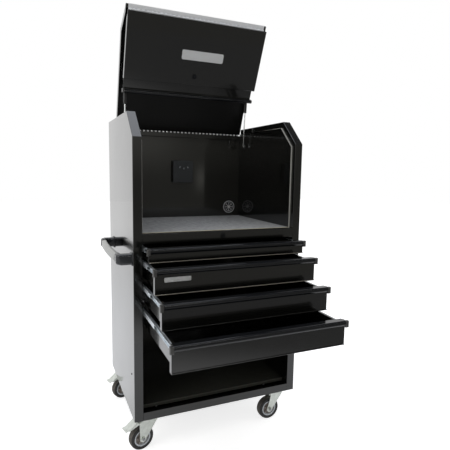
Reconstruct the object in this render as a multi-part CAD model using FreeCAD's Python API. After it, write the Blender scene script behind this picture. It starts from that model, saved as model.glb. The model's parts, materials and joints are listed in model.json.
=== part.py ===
import FreeCAD, Part
import math
import os
from FreeCAD import Vector

os.makedirs("parts", exist_ok=True)

# A tool trolley with a lidded hutch, four drawers and a lower shelf, on four swivel casters.
# Sizes are in millimetres. While it is drawn, X runs left to right across the front,
# Y runs from the front face to the back and Z runs up from the floor.

# Cabinet
body_width = 730.0
body_depth = 552.0
body_height = 1214.0
chamfer_depth = 108.0
chamfer_drop = 102.0
sheet = 1.2
fold_radius = 2.0
pillar_width = 35.0
rebate_depth = 26.0
liner_step = 6.0
inner_side_sheet = 1.5
inner_side_setback = 30.0
margin = 1.0
flatness = 0.01

# Base and lower shelf
base_sheet = 2.0
bottom_rail_height = 33.0
rail_return = 20.0
shelf_top = 43.0
shelf_edge = 14.0
shelf_setback = 42.0

# Hutch
rail_height = 39.0
hutch_height = 463.0
deck_drop = 3.0
mat_thickness = 4.0
mat_rear_gap = 2.0
header_depth = 22.0
header_height = 20.0

# Power outlet on the back wall, and the cable grommet beside it
outlet_width = 106.0
outlet_height = 110.0
outlet_depth = 22.0
outlet_above_middle = 22.8
outlet_corner = 5.0
outlet_slot_width = 3.0
outlet_slot_height = 9.0
outlet_slot_depth = 8.0
outlet_slot_spacing = 21.0
outlet_slot_rise = 22.0
outlet_slot_drop = 7.0
grommet_from_side = 98.0
grommet_rise = 52.0
grommet_hole_radius = 28.0
grommet_flange_radius = 34.0
grommet_flange = 3.0
grommet_bore_radius = 23.0
grommet_length = 14.0
grommet_web = 2.0
grommet_spokes = 6
grommet_spoke_width = 4.0
grommet_hub_radius = 5.0
grommet_play = 0.2

# Lid and its piano hinge
lid_gap = 2.0
lid_seat_gap = 1.0
lid_flange = 20.0
lid_open_angle = 69.0
hinge_drop = 31.0
hinge_barrel_radius = 4.0
hinge_pin_radius = 1.6
hinge_pin_play = 0.05
hinge_leaf = 1.2
hinge_leaf_width = 19.0
hinge_leaf_clearance = 0.6
hinge_knuckle = 9.75
hinge_knuckle_gap = 0.5
hinge_end_margin = 6.0
hinge_barrel_offset = 2.7

# Folding front door, hung from the front edge of the lid
door_side_gap = 1.0
door_top_gap = 5.0
door_foot_gap = 15.0
door_top_depth = 19.0
door_step = 27.5
door_strip_height = 47.0
door_strip_inset = 4.0
door_return = 26.0
door_fold_angle = 93.0
door_flange_front = 12.0
door_pull_height = 17.0
door_pull_front = 5.0
door_pull_wall = 2.0
door_pull_flat = 1.0
door_cap_width = 8.0
door_lock_height = 40.0

# Locks
lock_radius = 8.0
lock_play = 0.05
lock_head_radius = 11.0
lock_head = 2.5
lock_length = 24.0
lock_housing_radius = 11.5
lock_key_width = 2.0
lock_key_length = 9.0
lock_key_depth = 1.6
lock_cam_width = 9.0
lock_cam_length = 17.0
lock_cam = 2.0
lock_seat_gap = 0.3

# Gas struts
strut_axis_inset = 18.0
strut_door_gap = 100.1
strut_span = 201.5
strut_foot_drop = 61.0
strut_lid_drop = 10.0
strut_stud_radius = 4.0
strut_stud_play = 0.06
strut_stud_collar_radius = 6.5
strut_rod_radius = 3.0
strut_rod_play = 0.06
strut_tube_radius = 7.5
strut_rod_overlap = 16.0
strut_tube_end_wall = 3.0
strut_tube_reserve = 4.0
strut_eye_reach = 17.0
strut_tube_edge = 1.5
strut_eye_thickness = 4.0
strut_eye_radius = 8.0
strut_eye_gap = 0.8
strut_stud_end = 1.5
strut_collar = 4.0
strut_ear_gap = 1.0
strut_ear_foot = 12.0
strut_bracket_sheet = 2.0
strut_strap_width = 18.0
strut_strap_offset = 75.0
strut_foot_height = 28.0

# Side handle
handle_front_y = 26.0
handle_rear_inset = 106.0
handle_z = 654.0
handle_height = 42.0
handle_post_width = 38.0
handle_reach = 60.0
handle_shoulder = 46.0
handle_elbow = 34.0
handle_grip_thickness = 22.0
handle_grip_height = 36.0
handle_bow = 6.0
handle_edge_radius = 10.0
handle_grip_radius = 9.0
handle_foot = 4.0
handle_foot_margin = 4.0

# Drawers, from the top one down
drawer_gap = 3.0
drawer_side_gap = 2.5
drawer_heights = [53.0, 93.0, 93.0, 93.0]
drawer_openings = [87.0, 176.0, 267.0, 380.0]
drawer_front_depth = 20.0
drawer_rear_space = 60.0
drawer_floor_rise = 12.0
drawer_wall_drop = 8.0
drawer_hem = 8.0
drawer_foot_lip = 3.0
drawer_foot_lip_height = 3.0
drawer_edge_radius = 1.0

# Drawer pull, a full-width bull-nose bar with a moulded cap at each end
pull_top_depth = 19.0
pull_top = 1.5
pull_nose = 13.0
pull_nose_radius = 9.0
pull_height = 20.0
pull_wall = 2.0
cap_overhang = 8.0
cap_width = 13.0
cap_height = 25.0
cap_nose = 14.0
cap_tongue = 12.0
cap_radius = 4.0
cap_seat_gap = 0.5

# Ball-bearing slides
slide_height = 35.0
slide_thickness = 13.0
slide_rear_setback = 10.0
slide_setback = 32.0
slide_drop = 25.5
slide_sheet = 1.2
slide_outer_lip = 9.0
slide_play = 0.3
slide_middle_start = 2.4
slide_middle_end = 10.8
slide_inner_start = 4.8

# Casters
caster_inset_x = 68.0
caster_inset_y = 56.0
plate_length = 100.0
plate_width = 84.0
plate_sheet = 3.0
plate_corner = 8.0
bolt_inset_x = 10.0
bolt_inset_y = 12.0
bolt_radius = 4.0
bolt_play = 0.3
bolt_head_radius = 6.5
bolt_head = 4.5
bolt_length = 11.0
bolt_sides = 6
race_radius = 31.0
race_depth = 5.0
race_gap = 0.4
race_edge = 2.0
kingpin_radius = 6.0
kingpin_play = 0.06
kingpin_head_radius = 9.0
kingpin_head = 3.0
crown_sheet = 3.0
crown_radius = 33.0
crown_skirt = 14.0
fork_play = 1.0
fork_leg_sheet = 3.0
wheel_radius = 50.0
wheel_headroom = 27.6
wheel_width = 32.0
wheel_trail = 34.0
wheel_shoulder = 5.0
tyre_depth = 15.0
rim_recess = 1.0
rim_lip = 4.0
rim_web = 8.0
hub_radius = 12.0
hub_proud = 2.0
axle_radius = 5.0
axle_play = 0.06
axle_head_radius = 8.0
axle_head = 4.0
leg_foot_radius = 14.0
leg_front = 30.0
leg_rear = 38.0
leg_waist = 10.0
tyre_groove = 1.5
tyre_groove_width = 3.0
pedal_width = 40.0
pedal_sheet = 2.0
pedal_pivot_behind = 20.0
pedal_pivot_drop = 8.6
pedal_housing = 6.0
pedal_housing_gap = 1.0
pedal_pin_radius = 2.5
pedal_pin_play = 0.06
pedal_cheek = 1.5
pedal_cheek_gap = 0.5
pedal_rise = 8.0
pedal_slope_length = 31.0
pedal_slope_drop = 21.0
pedal_toe = 16.0
pedal_toe_drop = 3.0
pedal_cheek_depth = 7.0
pedal_cheek_nose = 5.0

# Where each caster stands and how far its wheel has turned, in degrees
caster_turns = {"front_left": 13.0, "rear_left": 17.0, "front_right": 2.0, "rear_right": -10.0}
braked_casters = ["front_left", "rear_left"]

# Heights and places that follow from the sizes above
middle_x = body_width / 2
crown_bottom_z = 2 * wheel_radius + wheel_headroom
crown_top_z = crown_bottom_z + crown_sheet
fork_top_z = crown_top_z + race_depth
race_bottom_z = fork_top_z + race_gap
base_height = race_bottom_z + race_depth + plate_sheet
top_z = base_height + body_height
shoulder_z = top_z - chamfer_drop
rail_top_z = top_z - hutch_height
rail_bottom_z = rail_top_z - rail_height
deck_top_z = rail_top_z - deck_drop
deck_bottom_z = deck_top_z - sheet
mat_top_z = deck_top_z + mat_thickness
grommet_x = body_width - grommet_from_side
grommet_z = deck_top_z + grommet_rise
back_inner_y = body_depth - sheet
liner_inner_x = pillar_width + liner_step
lid_left_x = pillar_width + lid_gap
lid_rim = rebate_depth - lid_seat_gap
leaf_reach = hinge_barrel_radius + hinge_leaf_clearance
hinge_left_x = liner_inner_x + hinge_end_margin
hinge_y = back_inner_y - sheet + hinge_leaf + hinge_barrel_offset
hinge_z = top_z - hinge_drop
back_top_z = hinge_z - leaf_reach
outlet_z = (deck_top_z + back_top_z) / 2 + outlet_above_middle
door_left_x = liner_inner_x + door_side_gap
door_top_z = shoulder_z - door_top_gap
door_flange_z = rail_top_z + door_foot_gap + door_pull_height
door_step_z = door_flange_z + door_strip_height
door_hinge_y = door_top_depth + hinge_leaf + hinge_barrel_offset
door_hinge_z = shoulder_z - hinge_barrel_radius
door_hinge_left_x = door_left_x + hinge_end_margin
door_lock_z = door_step_z + door_lock_height
drawer_lock_z = rail_top_z - rail_height / 2
slide_start_x = pillar_width + inner_side_sheet
box_side_x = slide_start_x + slide_thickness
drawer_left_x = pillar_width + drawer_side_gap
drawer_depth = back_inner_y - drawer_rear_space
slide_end_y = drawer_depth - slide_rear_setback
handle_rear_y = body_depth - handle_rear_inset
strut_x = liner_inner_x + strut_axis_inset
folded_door_y = door_hinge_y + door_hinge_z - rail_top_z - door_foot_gap
strut_foot_y = folded_door_y + strut_door_gap
strut_lid_reach = hinge_y - strut_foot_y + strut_span
strut_foot_z = hinge_z - strut_foot_drop
strut_strap_y = strut_foot_y - strut_strap_offset
hub_width = wheel_width + 2 * hub_proud
rim_width = wheel_width - 2 * rim_recess
rim_radius = wheel_radius - tyre_depth
fork_inner_width = hub_width + 2 * fork_play
pedal_pivot_back = wheel_trail + pedal_pivot_behind
pedal_pivot_z = crown_bottom_z - pedal_pivot_drop
braked_rear = pedal_pivot_back + pedal_housing


def block(x0, x1, y0, y1, z0, z1):
    return Part.makeBox(x1 - x0, y1 - y0, z1 - z0, Vector(x0, y0, z0))


def prism_x(points, x0, x1):
    """A flat outline given as (y, z) points, carried from x0 to x1."""
    corners = [Vector(x0, y, z) for y, z in points]
    face = Part.Face(Part.makePolygon(corners + corners[:1]))
    return face.extrude(Vector(x1 - x0, 0, 0))


def prism_z(points, z0, z1):
    """A flat outline given as (x, y) points, carried from z0 to z1."""
    corners = [Vector(x, y, z0) for x, y in points]
    face = Part.Face(Part.makePolygon(corners + corners[:1]))
    return face.extrude(Vector(0, 0, z1 - z0))


def cylinder_x(radius, x0, x1, y, z):
    return Part.makeCylinder(radius, x1 - x0, Vector(x0, y, z), Vector(1, 0, 0))


def cylinder_y(radius, x, y0, y1, z):
    return Part.makeCylinder(radius, y1 - y0, Vector(x, y0, z), Vector(0, 1, 0))


def cylinder_z(radius, x, y, z0, z1):
    return Part.makeCylinder(radius, z1 - z0, Vector(x, y, z0), Vector(0, 0, 1))


def joined(first, *others):
    return first.multiFuse(list(others)).removeSplitter()


def mirrored(shape):
    """The same piece on the other side of the trolley."""
    return shape.mirror(Vector(middle_x, 0, 0), Vector(1, 0, 0))


def rounded(shape, radius, chosen):
    """Rounds the edges for which chosen(edge) is true."""
    return shape.makeFillet(radius, [edge for edge in shape.Edges if chosen(edge)])


def along(edge, axis):
    """True where a straight edge runs along the named axis, X, Y or Z."""
    box = edge.BoundBox
    spans = {"X": box.XLength, "Y": box.YLength, "Z": box.ZLength}
    return all(span < flatness for name, span in spans.items() if name != axis)


def side_outline(inset, rear_y, bottom_z):
    """The side view of the cabinet, drawn in by inset along its front, chamfer and top."""
    slope = math.hypot(chamfer_depth, chamfer_drop)
    normal_y = chamfer_drop / slope
    normal_z = -chamfer_depth / slope
    upper_z = top_z - inset
    knee_y = (inset - normal_z * (upper_z - shoulder_z)) / normal_y
    lower_z = shoulder_z + (inset - normal_y * inset) / normal_z
    return [(inset, bottom_z), (rear_y, bottom_z), (rear_y, upper_z), (knee_y, upper_z), (inset, lower_z)]


def caster_centres():
    """The swivel axis of each caster, by its corner."""
    left = caster_inset_x
    right = body_width - caster_inset_x
    front = caster_inset_y
    rear = body_depth - caster_inset_y
    return {"front_left": (left, front), "rear_left": (left, rear),
            "front_right": (right, front), "rear_right": (right, rear)}


def bolt_centres():
    """Every caster bolt, four to a plate."""
    centres = []
    for x, y in caster_centres().values():
        for side_x in (-1, 1):
            for side_y in (-1, 1):
                bolt_x = x + side_x * (plate_length / 2 - bolt_inset_x)
                bolt_y = y + side_y * (plate_width / 2 - bolt_inset_y)
                centres.append((bolt_x, bolt_y))
    return centres


def with_bolt_holes(shape):
    hole_radius = bolt_radius + bolt_play
    below = base_height - plate_sheet - sheet
    above = base_height + base_sheet + sheet
    holes = [cylinder_z(hole_radius, x, y, below, above) for x, y in bolt_centres()]
    return shape.cut(holes)


def left_side_panel():
    """Outer skin, folded round the pillar and returned inwards as the edge of the lid rebate."""
    rear_y = body_depth - sheet
    solid = prism_x(side_outline(0, rear_y, base_height), 0, pillar_width)

    def folded(edge):
        box = edge.BoundBox
        at_side = box.XLength < flatness
        at_rear = box.YMin > rear_y - flatness
        at_bottom = box.ZMax < base_height + flatness
        return at_side and not at_rear and not at_bottom

    solid = rounded(solid, fold_radius, folded)
    hollow = prism_x(side_outline(sheet, rear_y - sheet, base_height + sheet), sheet,
                     pillar_width + margin)
    edge_slab = block(pillar_width - sheet, pillar_width, -margin, body_depth, base_height,
                      top_z + margin)
    inner = prism_x(side_outline(rebate_depth, body_depth + margin, base_height - margin), -margin,
                    pillar_width + margin)
    returned_edge = solid.common(edge_slab).cut(inner)
    return with_bolt_holes(joined(solid.cut(hollow), returned_edge))


def hutch_liner_left():
    """Inner wall of the hutch, with the stepped edge that the lid closes on."""
    outline = side_outline(rebate_depth, back_inner_y - hinge_leaf, deck_top_z)
    hollow = side_outline(rebate_depth + sheet, body_depth, deck_top_z - margin)
    solid = prism_x(outline, pillar_width, liner_inner_x)
    return solid.cut(prism_x(hollow, pillar_width - margin, liner_inner_x - sheet))


def inner_side_panels():
    """Plain plates behind the pillars that carry the drawer slides."""
    left = block(pillar_width, pillar_width + inner_side_sheet, inner_side_setback, back_inner_y,
                 base_height + base_sheet, deck_bottom_z)
    return Part.makeCompound([left, mirrored(left)])


def back_panel():
    plate = block(0, body_width, back_inner_y, body_depth, base_height, back_top_z)
    hole = cylinder_y(grommet_hole_radius, grommet_x, back_inner_y - margin, body_depth + margin,
                      grommet_z)
    return plate.cut(hole)


def base_pan():
    """Bottom plate with the front rail, rear upstand and two side upstands that carry the shelf."""
    left = pillar_width
    right = body_width - pillar_width
    rail_z = base_height + bottom_rail_height
    stand_z = base_height + shelf_top - shelf_edge
    stand_x = left + inner_side_sheet
    plate = block(left, right, 0, back_inner_y, base_height, base_height + base_sheet)
    face = block(left, right, 0, sheet, base_height, rail_z)
    top_return = block(left, right, 0, rail_return, rail_z - sheet, rail_z)
    drop_return = block(left, right, rail_return - sheet, rail_return, rail_z - rail_return / 2, rail_z)
    stand = block(stand_x, stand_x + sheet, shelf_setback, back_inner_y, base_height, stand_z)
    rear = block(stand_x, body_width - stand_x, back_inner_y - sheet, back_inner_y, base_height, stand_z)
    pan = joined(plate, face, top_return, drop_return, stand, mirrored(stand), rear)
    return with_bolt_holes(pan)


def lower_shelf():
    left = pillar_width + inner_side_sheet
    right = body_width - left
    rear = back_inner_y - sheet
    surface = base_height + shelf_top
    solid = block(left, right, shelf_setback, rear, surface - shelf_edge, surface)
    front_fold = rounded(solid, fold_radius, lambda edge: along(edge, "X")
                         and edge.BoundBox.YMax < shelf_setback + flatness
                         and edge.BoundBox.ZMin > surface - flatness)
    hollow = block(left + sheet, right - sheet, shelf_setback + sheet, rear - sheet,
                   surface - shelf_edge - margin, surface - sheet)
    return front_fold.cut(hollow)


def lock_rail():
    """Front channel between the hutch and the drawers."""
    left = pillar_width
    right = body_width - pillar_width
    solid = block(left, right, 0, rebate_depth, rail_bottom_z, rail_top_z)
    solid = rounded(solid, fold_radius, lambda edge: along(edge, "X") and edge.BoundBox.YMax < flatness)
    hollow = block(left - margin, right + margin, sheet, rebate_depth + margin, rail_bottom_z + sheet,
                   rail_top_z - sheet)
    hole = cylinder_y(lock_radius + lock_seat_gap, middle_x, -margin, rebate_depth + margin, drawer_lock_z)
    return solid.cut(hollow).cut(hole)


def hutch_deck():
    return block(pillar_width, body_width - pillar_width, rebate_depth, back_inner_y, deck_bottom_z,
                 deck_top_z)


def deck_mat():
    left = liner_inner_x
    right = body_width - liner_inner_x
    rear = back_inner_y - mat_rear_gap
    mat = block(left, right, rebate_depth, rear, deck_top_z, mat_top_z)
    return rounded(mat, fold_radius, lambda edge: along(edge, "X")
                   and edge.BoundBox.YMax < rebate_depth + flatness
                   and edge.BoundBox.ZMin > mat_top_z - flatness)


def rear_header_rail():
    """Channel that stiffens the top of the back wall, under the lid hinge."""
    left = liner_inner_x
    right = body_width - liner_inner_x
    rear = back_inner_y - hinge_leaf
    bottom = back_top_z - header_height
    solid = block(left, right, rear - header_depth, rear, bottom, back_top_z)
    return solid.cut(block(left - margin, right + margin, rear - header_depth + sheet, rear + margin,
                           bottom + sheet, back_top_z - sheet))


def power_outlet():
    """Surface-mounted outlet box with a three-slot face."""
    front = back_inner_y - outlet_depth
    solid = block(middle_x - outlet_width / 2, middle_x + outlet_width / 2, front, back_inner_y,
                  outlet_z - outlet_height / 2, outlet_z + outlet_height / 2)
    solid = rounded(solid, outlet_corner, lambda edge: along(edge, "Y"))
    solid = rounded(solid, fold_radius, lambda edge: edge.BoundBox.YMax < front + flatness)
    slot_z = outlet_z + outlet_slot_rise
    slots = []
    for side in (-1, 0, 1):
        slot_x = middle_x + side * outlet_slot_spacing
        lowered = outlet_slot_drop if side == 0 else 0.0
        slots.append(block(slot_x - outlet_slot_width / 2, slot_x + outlet_slot_width / 2,
                           front - margin, front + outlet_slot_depth,
                           slot_z - lowered - outlet_slot_height / 2,
                           slot_z - lowered + outlet_slot_height / 2))
    return solid.cut(slots)


def cable_grommet():
    """Flanged ring through the back wall, with a spoked web inside."""
    centre_z = grommet_z
    front = back_inner_y - grommet_flange
    rear = front + grommet_length
    flange = cylinder_y(grommet_flange_radius, grommet_x, front, back_inner_y, centre_z)
    flange = rounded(flange, grommet_flange / 2, lambda edge: edge.BoundBox.YMax < front + flatness)
    barrel = cylinder_y(grommet_hole_radius - grommet_play, grommet_x, front, rear, centre_z)
    bore = cylinder_y(grommet_bore_radius, grommet_x, front - margin, rear + margin, centre_z)
    ring = joined(flange, barrel).cut(bore)
    hub = cylinder_y(grommet_hub_radius, grommet_x, back_inner_y, back_inner_y + grommet_web, centre_z)
    spokes = []
    for number in range(grommet_spokes // 2):
        spoke = block(grommet_x - grommet_bore_radius - margin, grommet_x + grommet_bore_radius + margin,
                      back_inner_y, back_inner_y + grommet_web,
                      centre_z - grommet_spoke_width / 2, centre_z + grommet_spoke_width / 2)
        turn = 360.0 * (number + 0.5) / grommet_spokes
        spoke.rotate(Vector(grommet_x, 0, centre_z), Vector(0, 1, 0), turn)
        spokes.append(spoke)
    return joined(ring, hub, *spokes)


def knuckles(first, start, end):
    """The ends along X of every second knuckle of a piano hinge."""
    tubes = []
    number = first
    pitch = hinge_knuckle
    while start + (number + 1) * pitch <= end + flatness:
        x0 = start + number * pitch + hinge_knuckle_gap / 2
        x1 = start + (number + 1) * pitch - hinge_knuckle_gap / 2
        tubes.append((x0, x1))
        number += 2
    return tubes


def hinge_leaf_solid(first, start, end, axis_y, axis_z, plate, tab):
    """A hinge leaf: its plate, and a tab and a tube for every second knuckle.

    plate gives the plate's (y0, y1, z0, z1), and tab those of the strip that reaches the barrel."""
    solid = block(start, end, *plate)
    additions = []
    bores = []
    for x0, x1 in knuckles(first, start, end):
        additions.append(block(x0, x1, *tab))
        additions.append(cylinder_x(hinge_barrel_radius, x0, x1, axis_y, axis_z))
        bores.append(cylinder_x(hinge_pin_radius + hinge_pin_play, x0 - margin, x1 + margin, axis_y,
                                axis_z))
    return joined(solid, *additions).cut(bores)


def lid_hinge_fixed_leaf():
    """Leaf on the inner face of the back wall, with the hinge pin as its own solid."""
    y0 = back_inner_y - hinge_leaf
    plate = (y0, back_inner_y, hinge_z - leaf_reach - hinge_leaf_width, hinge_z - leaf_reach)
    tab = (y0, back_inner_y, hinge_z - leaf_reach - margin, hinge_z)
    right = body_width - hinge_left_x
    leaf = hinge_leaf_solid(0, hinge_left_x, right, hinge_y, hinge_z, plate, tab)
    pin = cylinder_x(hinge_pin_radius, hinge_left_x, right, hinge_y, hinge_z)
    return Part.makeCompound([leaf, pin])


def lid_hinge_moving_leaf():
    y0 = back_inner_y - hinge_leaf
    plate = (y0, back_inner_y, hinge_z + leaf_reach, hinge_z + leaf_reach + hinge_leaf_width)
    tab = (y0, back_inner_y, hinge_z, hinge_z + leaf_reach + margin)
    return hinge_leaf_solid(1, hinge_left_x, body_width - hinge_left_x, hinge_y, hinge_z, plate, tab)


def lid_panel():
    """Top, chamfer, side rims and the short front flange, folded from one sheet. Drawn closed."""
    left = lid_left_x
    right = body_width - left
    band = side_outline(0, body_depth, shoulder_z)[2:]
    inner = side_outline(lid_rim, body_depth, shoulder_z)
    inner_knee = inner[3]
    slope = chamfer_drop / chamfer_depth
    inner_shoulder = (inner_knee[0] - (inner_knee[1] - shoulder_z) / slope, shoulder_z)
    rim_z = top_z - lid_rim
    outline = band + [inner_shoulder, (inner_knee[0], rim_z), (body_depth, rim_z)]
    solid = prism_x(outline, left, right)

    def folded(edge):
        box = edge.BoundBox
        long_fold = along(edge, "X") and box.ZMin > shoulder_z - flatness and box.YMin < flatness
        knee = along(edge, "X") and abs(box.YMin - chamfer_depth) < flatness and box.ZMin > top_z - flatness
        ends = box.XLength < flatness and box.ZMax > rim_z + flatness and (
            box.ZMin > top_z - flatness or (box.YMin < flatness and box.YMax > chamfer_depth - flatness))
        return long_fold or knee or ends

    solid = rounded(solid, fold_radius, folded)
    shell = side_outline(sheet, body_depth - sheet, shoulder_z + sheet)
    hollow = prism_x([(point_y, max(point_z, shoulder_z + sheet)) for point_y, point_z in shell[1:]],
                     left + sheet, right - sheet)
    mouth = block(left + sheet, right - sheet, lid_flange, inner_shoulder[0] + margin, shoulder_z - margin,
                  shoulder_z + sheet + margin)
    return solid.cut([hollow, mouth])


def door_hinge_lid_leaf():
    """Leaf under the lid's front flange, with the hinge pin as its own solid."""
    z0 = shoulder_z - hinge_leaf
    plate = (fold_radius, door_hinge_y - leaf_reach, z0, shoulder_z)
    tab = (door_hinge_y - leaf_reach - margin, door_hinge_y, z0, shoulder_z)
    right = body_width - door_hinge_left_x
    leaf = hinge_leaf_solid(0, door_hinge_left_x, right, door_hinge_y, door_hinge_z, plate, tab)
    pin = cylinder_x(hinge_pin_radius, door_hinge_left_x, right, door_hinge_y, door_hinge_z)
    return Part.makeCompound([leaf, pin])


def door_hinge_door_leaf():
    y0 = door_top_depth
    plate = (y0, y0 + hinge_leaf, door_hinge_z - leaf_reach - hinge_leaf_width, door_hinge_z - leaf_reach)
    tab = (y0, y0 + hinge_leaf, door_hinge_z - leaf_reach - margin, door_hinge_z)
    right = body_width - door_hinge_left_x
    return hinge_leaf_solid(1, door_hinge_left_x, right, door_hinge_y, door_hinge_z, plate, tab)


def door_panel():
    """Front skin with side and top flanges, stepped back at its foot as a finger recess. Drawn closed."""
    left = door_left_x
    right = body_width - left
    strip_left = left + door_strip_inset
    strip_right = body_width - strip_left
    solid = block(left, right, 0, door_top_depth, door_step_z, door_top_z)
    solid = rounded(solid, fold_radius, lambda edge: edge.BoundBox.YMax < flatness)
    hollow = block(left + sheet, right - sheet, sheet, door_top_depth + margin, door_step_z + sheet,
                   door_top_z - sheet)
    top_return = block(left, right, door_top_depth - sheet, door_top_depth, door_top_z - door_return,
                       door_top_z)
    step = block(strip_left, strip_right, door_top_depth - margin, door_step, door_step_z,
                 door_step_z + sheet)
    strip = block(strip_left, strip_right, door_step - sheet, door_step, door_flange_z, door_step_z + sheet)
    flange = block(strip_left, strip_right, door_flange_front, door_step, door_flange_z,
                   door_flange_z + sheet)
    hole = cylinder_y(lock_radius + lock_seat_gap, middle_x, -margin, door_step, door_lock_z)
    return joined(solid.cut(hollow), top_return, step, strip, flange).cut(hole)


def nosed_bar(left, right, front, rear, bottom, top, radius):
    bar = block(left, right, front, rear, bottom, top)
    return rounded(bar, radius, lambda edge: along(edge, "X") and edge.BoundBox.YMax < front + flatness)


def door_pull():
    """Hollow bull-nose bar under the finger recess, with a moulded cap at each end."""
    left = door_left_x + door_cap_width
    right = body_width - left
    bottom = door_flange_z - door_pull_height
    radius = door_pull_height / 2 - door_pull_flat / 2
    bar = nosed_bar(left, right, door_pull_front, door_step, bottom, door_flange_z, radius)
    core = nosed_bar(left - margin, right + margin, door_pull_front + door_pull_wall,
                     door_step - door_pull_wall, bottom + door_pull_wall, door_flange_z - door_pull_wall,
                     radius - door_pull_wall)
    cap = nosed_bar(door_left_x, left, door_pull_front, door_step, bottom, door_flange_z, radius)
    return Part.makeCompound([bar.cut(core), cap, mirrored(cap)])


def lock_cylinder(z, rear_y):
    """Round lock with a proud head, a key slot in front and a cam behind."""
    head = cylinder_y(lock_head_radius, middle_x, -lock_head, -lock_seat_gap, z)
    head = rounded(head, lock_head / 3, lambda edge: edge.BoundBox.YMax < -lock_head + flatness)
    barrel = cylinder_y(lock_radius, middle_x, -lock_head / 2, rear_y, z)
    cam_tip = z - lock_cam_length
    cam = block(middle_x - lock_cam_width / 2, middle_x + lock_cam_width / 2, rear_y, rear_y + lock_cam,
                cam_tip, z + lock_cam_width / 2)
    slot = block(middle_x - lock_key_width / 2, middle_x + lock_key_width / 2, -lock_head - margin,
                 -lock_head + lock_key_depth, z - lock_key_length / 2, z + lock_key_length / 2)
    return joined(head, barrel, cam).cut(slot)


def lock_housing(z):
    """Tube behind a panel that a lock turns in."""
    rear = lock_length - lock_seat_gap
    tube = cylinder_y(lock_housing_radius, middle_x, sheet, rear, z)
    return tube.cut(cylinder_y(lock_radius + lock_play, middle_x, 0, rear + margin, z))


def strut_lid_point(opening):
    """Where the strut meets the lid, in (y, z), with the lid opened by so many degrees."""
    turn = math.radians(opening)
    back = -strut_lid_reach
    down = -strut_lid_drop
    y = hinge_y + back * math.cos(turn) + down * math.sin(turn)
    z = hinge_z - back * math.sin(turn) + down * math.cos(turn)
    return y, z


def strut_length(opening):
    y, z = strut_lid_point(opening)
    return math.hypot(y - strut_foot_y, z - strut_foot_z)


def strut_lean(opening):
    """How far the strut leans forward from upright, in degrees."""
    y, z = strut_lid_point(opening)
    return math.degrees(math.atan2(strut_foot_y - y, z - strut_foot_z))


def leaned(shape):
    """Turns an upright strut piece to its lean with the lid open."""
    foot = Vector(0, strut_foot_y, strut_foot_z)
    shape.rotate(foot, Vector(1, 0, 0), strut_lean(lid_open_angle))
    return shape


def strut_tube_length():
    """Long enough to take the rod in when the lid is closed."""
    stroke = strut_length(lid_open_angle) - strut_length(0)
    return stroke + strut_rod_overlap + strut_tube_reserve + strut_tube_end_wall


def strut_tube_bottom():
    """Height of the tube's open end above the floor, with the strut upright and the lid open."""
    eye_z = strut_foot_z + strut_length(lid_open_angle)
    return eye_z - strut_eye_reach - strut_tube_length()


def strut_brackets():
    """Straps on the hutch liners, each with a stud that ends beside the foot of its strut."""
    wall = liner_inner_x
    plate_x = wall + strut_bracket_sheet
    strap_top = top_z - rebate_depth - sheet
    bottom = strut_foot_z - strut_foot_height / 2
    strap_front = strut_strap_y - strut_strap_width / 2
    strap = block(wall, plate_x, strap_front, strap_front + strut_strap_width, bottom, strap_top)
    foot = block(wall, plate_x, strap_front, strut_foot_y + strut_foot_height / 2, bottom,
                 bottom + strut_foot_height)
    collar = cylinder_x(strut_stud_collar_radius, wall, plate_x + strut_collar, strut_foot_y, strut_foot_z)
    stud = cylinder_x(strut_stud_radius, wall, strut_x - strut_tube_radius - strut_eye_gap,
                      strut_foot_y, strut_foot_z)
    left = joined(strap, foot, collar, stud)
    return Part.makeCompound([left, mirrored(left)])


def strut_rods():
    """Polished rods, each with a round head beside its bracket's stud."""
    rod = cylinder_z(strut_rod_radius, strut_x, strut_foot_y, strut_foot_z,
                     strut_tube_bottom() + strut_rod_overlap)
    head = cylinder_x(strut_eye_radius, strut_x - strut_tube_radius, strut_x + strut_rod_radius,
                      strut_foot_y, strut_foot_z)
    left = leaned(joined(head, rod))
    return Part.makeCompound([left, mirrored(left)])


def strut_tubes():
    """Pressure tubes, each with a flat eye that turns on the lid's stud."""
    bottom = strut_tube_bottom()
    top = bottom + strut_tube_length()
    eye_z = top + strut_eye_reach
    eye_x0 = strut_x - strut_eye_thickness / 2
    eye_x1 = strut_x + strut_eye_thickness / 2
    tube = cylinder_z(strut_tube_radius, strut_x, strut_foot_y, bottom, top)
    tube = rounded(tube, strut_tube_edge, lambda edge: edge.BoundBox.ZLength < flatness)
    neck = block(eye_x0, eye_x1, strut_foot_y - strut_eye_radius / 2, strut_foot_y + strut_eye_radius / 2,
                 top - margin, eye_z)
    eye = cylinder_x(strut_eye_radius, eye_x0, eye_x1, strut_foot_y, eye_z)
    bore = cylinder_z(strut_rod_radius + strut_rod_play, strut_x, strut_foot_y, bottom - margin,
                      top - strut_tube_end_wall)
    stud_hole = cylinder_x(strut_stud_radius + strut_stud_play, eye_x0 - margin, eye_x1 + margin,
                           strut_foot_y, eye_z)
    left = leaned(joined(tube, neck, eye).cut([bore, stud_hole]))
    return Part.makeCompound([left, mirrored(left)])


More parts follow.
